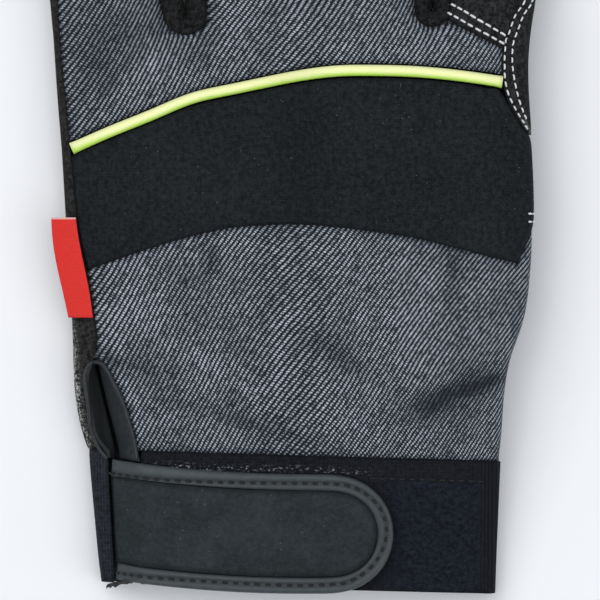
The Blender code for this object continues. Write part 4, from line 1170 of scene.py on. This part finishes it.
class GLOVE_OT_suede(bpy.types.Operator):
    """Make the suede pieces: palm, finger strips, side strips, index finger and thumb"""

    bl_idname = "glove.suede"
    bl_label = "Suede pieces"

    def execute(self, context):
        face = suede_finish("suede", 1.0)
        strip = suede_finish("strip_suede", 1.08, 1.06)
        # The strips between the fingers take a darker copy of the suede: painted shade where they sink
        # between the fingers
        painted_shade_gusset = suede_finish("gusset_suede", 0.65)
        dress("index_suede", "index_back", "suede", face, 3, raised=0.0005, wobble=0.0003)
        dress("saddle_suede", "thumb_saddle", "suede", face, 3, raised=0.0006, wobble=0.0003)
        dress("side_strip", "outer_side", "suede", strip, wobble=0.0004)
        for fingers, *gap in GUSSETS:
            dressed = dress("gusset_" + fingers, "fourchette_" + fingers, "suede", painted_shade_gusset, 3, wobble=0.0005)
            close_gap(dressed, *gap)
        dress("palm_suede", "palm", "suede", face)
        dress("thumb_upper_suede", "thumb_back", "suede", face)
        dress("thumb_lower_suede", "thumb_front", "suede", face)
        return {"FINISHED"}


# The middle of the rolled bead round the slit, and the sewn row inside its right lip, in pixels
SLIT_RIM = [
    (107.5, 459), (100, 449.5), (92.3, 432.5), (88.8, 406.5), (85, 379), (86, 371), (89, 364.5),
    (93, 361.5), (98, 361.6), (102, 363.6), (105.8, 368), (113.2, 381.6), (123.4, 404.2),
    (131.5, 430.5), (136, 451.4), (136.6, 461),
]
SLIT_ROW = [(104, 374), (110.5, 386), (120, 407.5), (127.5, 432), (131.7, 451), (132, 460)]
BEAD_RADIUS = 0.00052
# Pitch, length and thickness of the sewn row's stitches
SLIT_STITCH = (0.0019, 0.0012, 0.0003)
# The fold inside the slit, a place in pixels and its slant, how soft its line is and how dark the painted
# shade on its left lip, then where that lip leans out, and how far
SLIT_FOLD = (95.7, 365)
SLIT_SLANT = -0.25
SLIT_FADE = 0.0015
SLIT_SHADE = 1.4
SLIT_LEAN = ((103, 440), -58, 20, 14)
SLIT_SHIFT = 0.0011


class GLOVE_OT_cuff(bpy.types.Operator):
    """Make the cuff: the loop facing, the elastic and the bound slit"""

    bl_idname = "glove.cuff"
    bl_label = "Cuff and slit"

    def execute(self, context):
        facing = dress("loop_facing", "cuff_back", "loop", loop_finish(), 3, pinch=0.0002)
        elastic = dress("ribbed_elastic", "cuff_elastic", "elastic", elastic_finish(), pinch=0.0002)
        finish = leatherette_finish("slit_leatherette", (0.0140, 0.0165, 0.0180), (0.055, 0.063, 0.068))
        slit = dress("slit_edges", "slit_binding", "binding", finish, 3, pinch=0.0)
        points = points_of(slit.data)
        fold_x, fold_y = pixel_plan(*SLIT_FOLD)
        middle = fold_x + (points[:, 1] - fold_y) * SLIT_SLANT
        share = np.clip((middle - points[:, 0]) / SLIT_FADE, 0, 1)
        points[:, 0] -= SLIT_SHIFT * share * bell(points, *SLIT_LEAN)[0]
        move_points(slit.data, points)
        # Painted shade on the slit's left lip, left of its fold
        set_painted_light(slit, share * SLIT_SHADE)
        tree = surface_tree([slit, DRESSED["denim_lower"], DRESSED["side_strip"], facing, elastic])
        bead = leatherette_finish("bead_leatherette", (0.0080, 0.0095, 0.0105), (0.036, 0.041, 0.044))
        lay_bead("slit_bead", photo_row(tree, SLIT_RIM), BEAD_RADIUS, bead)
        black = thread_finish("slit_thread", (0.002, 0.002, 0.0025), (0.016, 0.016, 0.018))
        lay_stitches("slit_stitches", "binding", [photo_row(tree, SLIT_ROW)], *SLIT_STITCH, black)
        return {"FINISHED"}


# The sewn row round the strap's edge, in pixels
STRAP_ROW = [
    (112, 473.5), (153, 479), (200, 481.8), (250, 483), (300, 483.4), (338, 484.2), (352, 487),
    (364, 493), (375, 502), (383, 514), (386.5, 530), (384, 546), (377, 560), (367, 571), (352, 580.5),
    (338, 584), (300, 585.5), (250, 584), (200, 581), (150, 577.5), (118, 573),
]
# The groove under that row: its depth and half width, then its stitches' pitch and length, and their
# thickness as a share of the thread's
STRAP_GROOVE = (0.00055, 0.0007)
STRAP_STITCH = (0.0026, 0.0016)
STRAP_THREAD = 1.2
# The tape's lower corner: where it frays, how far it reaches out and down, and how far, how finely and
# from which seed it is jagged
FRAY_X = (-0.0060, -0.0130)
FRAY_Y = (-0.0670, -0.0690)
FRAY_REACH = 0.0078
FRAY_DROP = 0.0003
FRAY_JAG = 0.0012
FRAY_SIZE = 0.0006
FRAY_SEED = 77


def fray_corner(piece):
    """Draws the hook tape's lower corner out into a ragged end."""
    points = points_of(piece.data)
    across = np.clip((FRAY_X[0] - points[:, 0]) / (FRAY_X[0] - FRAY_X[1]), 0.0, 1.0)
    down = np.clip((FRAY_Y[0] - points[:, 1]) / (FRAY_Y[0] - FRAY_Y[1]), 0.0, 1.0)
    share = across * down
    points[:, 0] -= FRAY_REACH * share
    jag = np.clip(gentle_noise(points, FRAY_SIZE, FRAY_SEED), 0.0, 1.0) * np.minimum(share * 4.0, 1.0)
    points[:, 1] -= FRAY_DROP * share + FRAY_JAG * jag * down
    move_points(piece.data, points)


class GLOVE_OT_strap(bpy.types.Operator):
    """Make the wrist strap: its neoprene middle, bound edge and hook tape"""

    bl_idname = "glove.strap"
    bl_label = "Wrist strap"

    def execute(self, context):
        dress("strap_neoprene", "strap_body", "neoprene", neoprene_finish(), 3, pinch=0.0004, wobble=0.0002)
        finish = leatherette_finish("strap_leatherette", (0.0270, 0.0320, 0.0350), (0.0560, 0.0650, 0.0700))
        edge = dress("strap_edge", "strap_binding", "binding", finish, 3, pinch=0.0)
        sink_row(edge, photo_row(surface_tree([edge]), STRAP_ROW), *STRAP_GROOVE)
        fray_corner(dress("hook_tape", "strap_hook", "hook", hook_finish(), 4, pinch=0.0))
        return {"FINISHED"}


class GLOVE_OT_label(bpy.types.Operator):
    """Make the plain red label in the side seam"""

    bl_idname = "glove.label"
    bl_label = "Side label"

    def execute(self, context):
        dress("red_tab", "side_label", "label", label_finish(), 3, pinch=0.0)
        return {"FINISHED"}


# The white double rows in pixels: across the index finger's foot, and round the saddle's edge and on
# along the index finger, beyond the photograph's upper edge
INDEX_ROWS = (
    [(453.5, 5.2), (465, 11.5), (478, 19.5), (491, 27.0), (502.8, 34.1)],
    [(450, 13.8), (463, 21.0), (476, 28.5), (489, 35.5), (501.7, 42.5)],
)
SADDLE_ROWS = (
    [
        (541.4, -216), (537.7, -167), (533.6, -118), (529.9, -69), (527.6, -28), (524.9, 0), (515.5, 15),
        (509.7, 31), (506.3, 40), (504.6, 55), (504.6, 69), (505.1, 80), (508, 93), (514.3, 106.8),
        (522.4, 120.6), (526.4, 127.4),
    ],
    [
        (547.1, -216), (543.4, -167), (539.3, -118), (536.0, -69), (534.0, -28), (532.1, 0), (523.5, 15),
        (517.8, 29.9), (513.2, 42.5), (512, 57.4), (513.2, 73.5), (516, 88.4), (520, 103.3), (525.2, 117),
    ],
)
# Two bars of white thread at the band's thumb edge
BAND_BARS = (
    [(530.2, 213.7), (536.0, 213.9)],
    [(530.2, 221.7), (536.0, 221.9)],
)
# The white pieces: their rows, a stitch's share of the pitch, and its share of the thread's width
WHITE_ROWS = (
    ("index_stitches", INDEX_ROWS, 0.86, 1.15),
    ("saddle_stitches", SADDLE_ROWS, 0.74, 0.92),
    ("band_bars", BAND_BARS, 0.66, 1.0),
)


class GLOVE_OT_stitches(bpy.types.Operator):
    """Sew the white double rows along the index finger and the saddle"""

    bl_idname = "glove.stitches"
    bl_label = "White stitches"

    def execute(self, context):
        look = settings()
        tree = surface_tree(DRESSED[name] for name in ("index_suede", "saddle_suede", "knit_band"))
        white = thread_finish("white_thread", dimmed(look.thread, 0.72), tuple(look.thread))
        pitch, width = look.stitch_pitch, look.thread_width
        for name, pixels, share, thickness in WHITE_ROWS:
            rows = [photo_row(tree, row) for row in pixels]
            lay_stitches(name, "suede", rows, pitch, pitch * share, width * thickness, white)
        return {"FINISHED"}


# The row along the cuff's hem in pixels, and its stitches' pitch, length and thickness
HEM_ROW = [(372, 478.4), (420, 479.4), (460, 480.6), (480, 481.4)]
HEM_STITCH = (0.0024, 0.0015, 0.0004)


class GLOVE_OT_black_stitches(bpy.types.Operator):
    """Sew the black rows round the strap and along the cuff's hem"""

    bl_idname = "glove.black_stitches"
    bl_label = "Black stitches"

    def execute(self, context):
        width = settings().thread_width * STRAP_THREAD
        tree = surface_tree(DRESSED[name] for name in ("strap_edge", "strap_neoprene", "ribbed_elastic"))
        black = thread_finish("black_thread", (0.0012, 0.0013, 0.0016), (0.0075, 0.0080, 0.0090))
        rows = [photo_row(tree, STRAP_ROW)]
        lay_stitches("strap_stitches", "binding", rows, *STRAP_STITCH, width, black)
        rows = [photo_row(surface_tree([DRESSED["loop_facing"]]), HEM_ROW)]
        lay_stitches("cuff_stitches", "loop", rows, *HEM_STITCH, black)
        return {"FINISHED"}


# Half the floor's side, the lamps with their place from the frame's middle, size and power, and the sky
FLOOR_REACH = 1.6
LAMPS = (
    ("key_light", (-0.35, 0.30, 0.75), 0.60, 3.15),
    ("fill_light", (0.55, -0.30, 0.60), 0.60, 1.75),
    ("top_light", (0.0, 0.0, 1.1), 0.9, 4.1),
)
SKY_COLOUR = (0.86, 0.92, 1.0, 1)
SKY_STRENGTH = 0.50


class GLOVE_OT_stage(bpy.types.Operator):
    """Make the pale floor, the soft lights and the camera over the glove"""

    bl_idname = "glove.stage"
    bl_label = "Stage"

    def execute(self, context):
        look = settings()
        mesh = bpy.data.meshes.new("floor")
        corners = [(x * FLOOR_REACH, y * FLOOR_REACH, 0) for x, y in ((-1, -1), (1, -1), (1, 1), (-1, 1))]
        mesh.from_pydata(corners, [], [(0, 1, 2, 3)])
        mesh.materials.append(floor_finish())
        floor = link("floor", mesh)
        middle = Vector((*FRAME_MIDDLE, 0))
        for name, place, size, power in LAMPS:
            lamp = bpy.data.lights.new(name, "AREA")
            lamp.size = size
            lamp.energy = power
            made = link(name, lamp)
            made.location = middle + Vector(place)
            made.rotation_euler = (-Vector(place)).to_track_quat("-Z", "Y").to_euler()
        world = bpy.data.worlds.new("studio")
        world.use_nodes = True
        sky = world.node_tree.nodes["Background"]
        sky.inputs["Color"].default_value = SKY_COLOUR
        sky.inputs["Strength"].default_value = SKY_STRENGTH
        context.scene.world = world
        camera = bpy.data.cameras.new("camera")
        camera.lens = camera.sensor_width * (look.camera_height - FRAME_LEVEL) / FRAME_WIDTH
        camera.clip_end = 20
        made = link("camera", camera)
        made.location = (*FRAME_MIDDLE, look.camera_height)
        context.scene.camera = made
        context.scene.view_settings.view_transform = "Standard"
        return {"FINISHED"}


OPERATORS = (
    GLOVE_OT_denim,
    GLOVE_OT_band,
    GLOVE_OT_piping,
    GLOVE_OT_suede,
    GLOVE_OT_cuff,
    GLOVE_OT_strap,
    GLOVE_OT_label,
    GLOVE_OT_stitches,
    GLOVE_OT_black_stitches,
    GLOVE_OT_stage,
)


class GLOVE_PT_panel(bpy.types.Panel):
    """Lists the glove's pieces and settings"""

    bl_idname = "GLOVE_PT_panel"
    bl_label = "Glove"
    bl_space_type = "VIEW_3D"
    bl_region_type = "UI"
    bl_category = "Glove"

    def draw(self, context):
        for operator in OPERATORS:
            self.layout.operator(operator.bl_idname)
        look = context.scene.glove_look
        for name in GloveLook.__annotations__:
            self.layout.prop(look, name)


def register():
    bpy.utils.register_class(GloveLook)
    bpy.types.Scene.glove_look = PointerProperty(type=GloveLook)
    for operator in OPERATORS:
        bpy.utils.register_class(operator)
    bpy.utils.register_class(GLOVE_PT_panel)


def unregister():
    bpy.utils.unregister_class(GLOVE_PT_panel)
    for operator in reversed(OPERATORS):
        bpy.utils.unregister_class(operator)
    del bpy.types.Scene.glove_look
    bpy.utils.unregister_class(GloveLook)


def main():
    register()
    for operator in OPERATORS:
        group, action = operator.bl_idname.split(".")
        getattr(getattr(bpy.ops, group), action)()


if __name__ == "__main__":
    main()
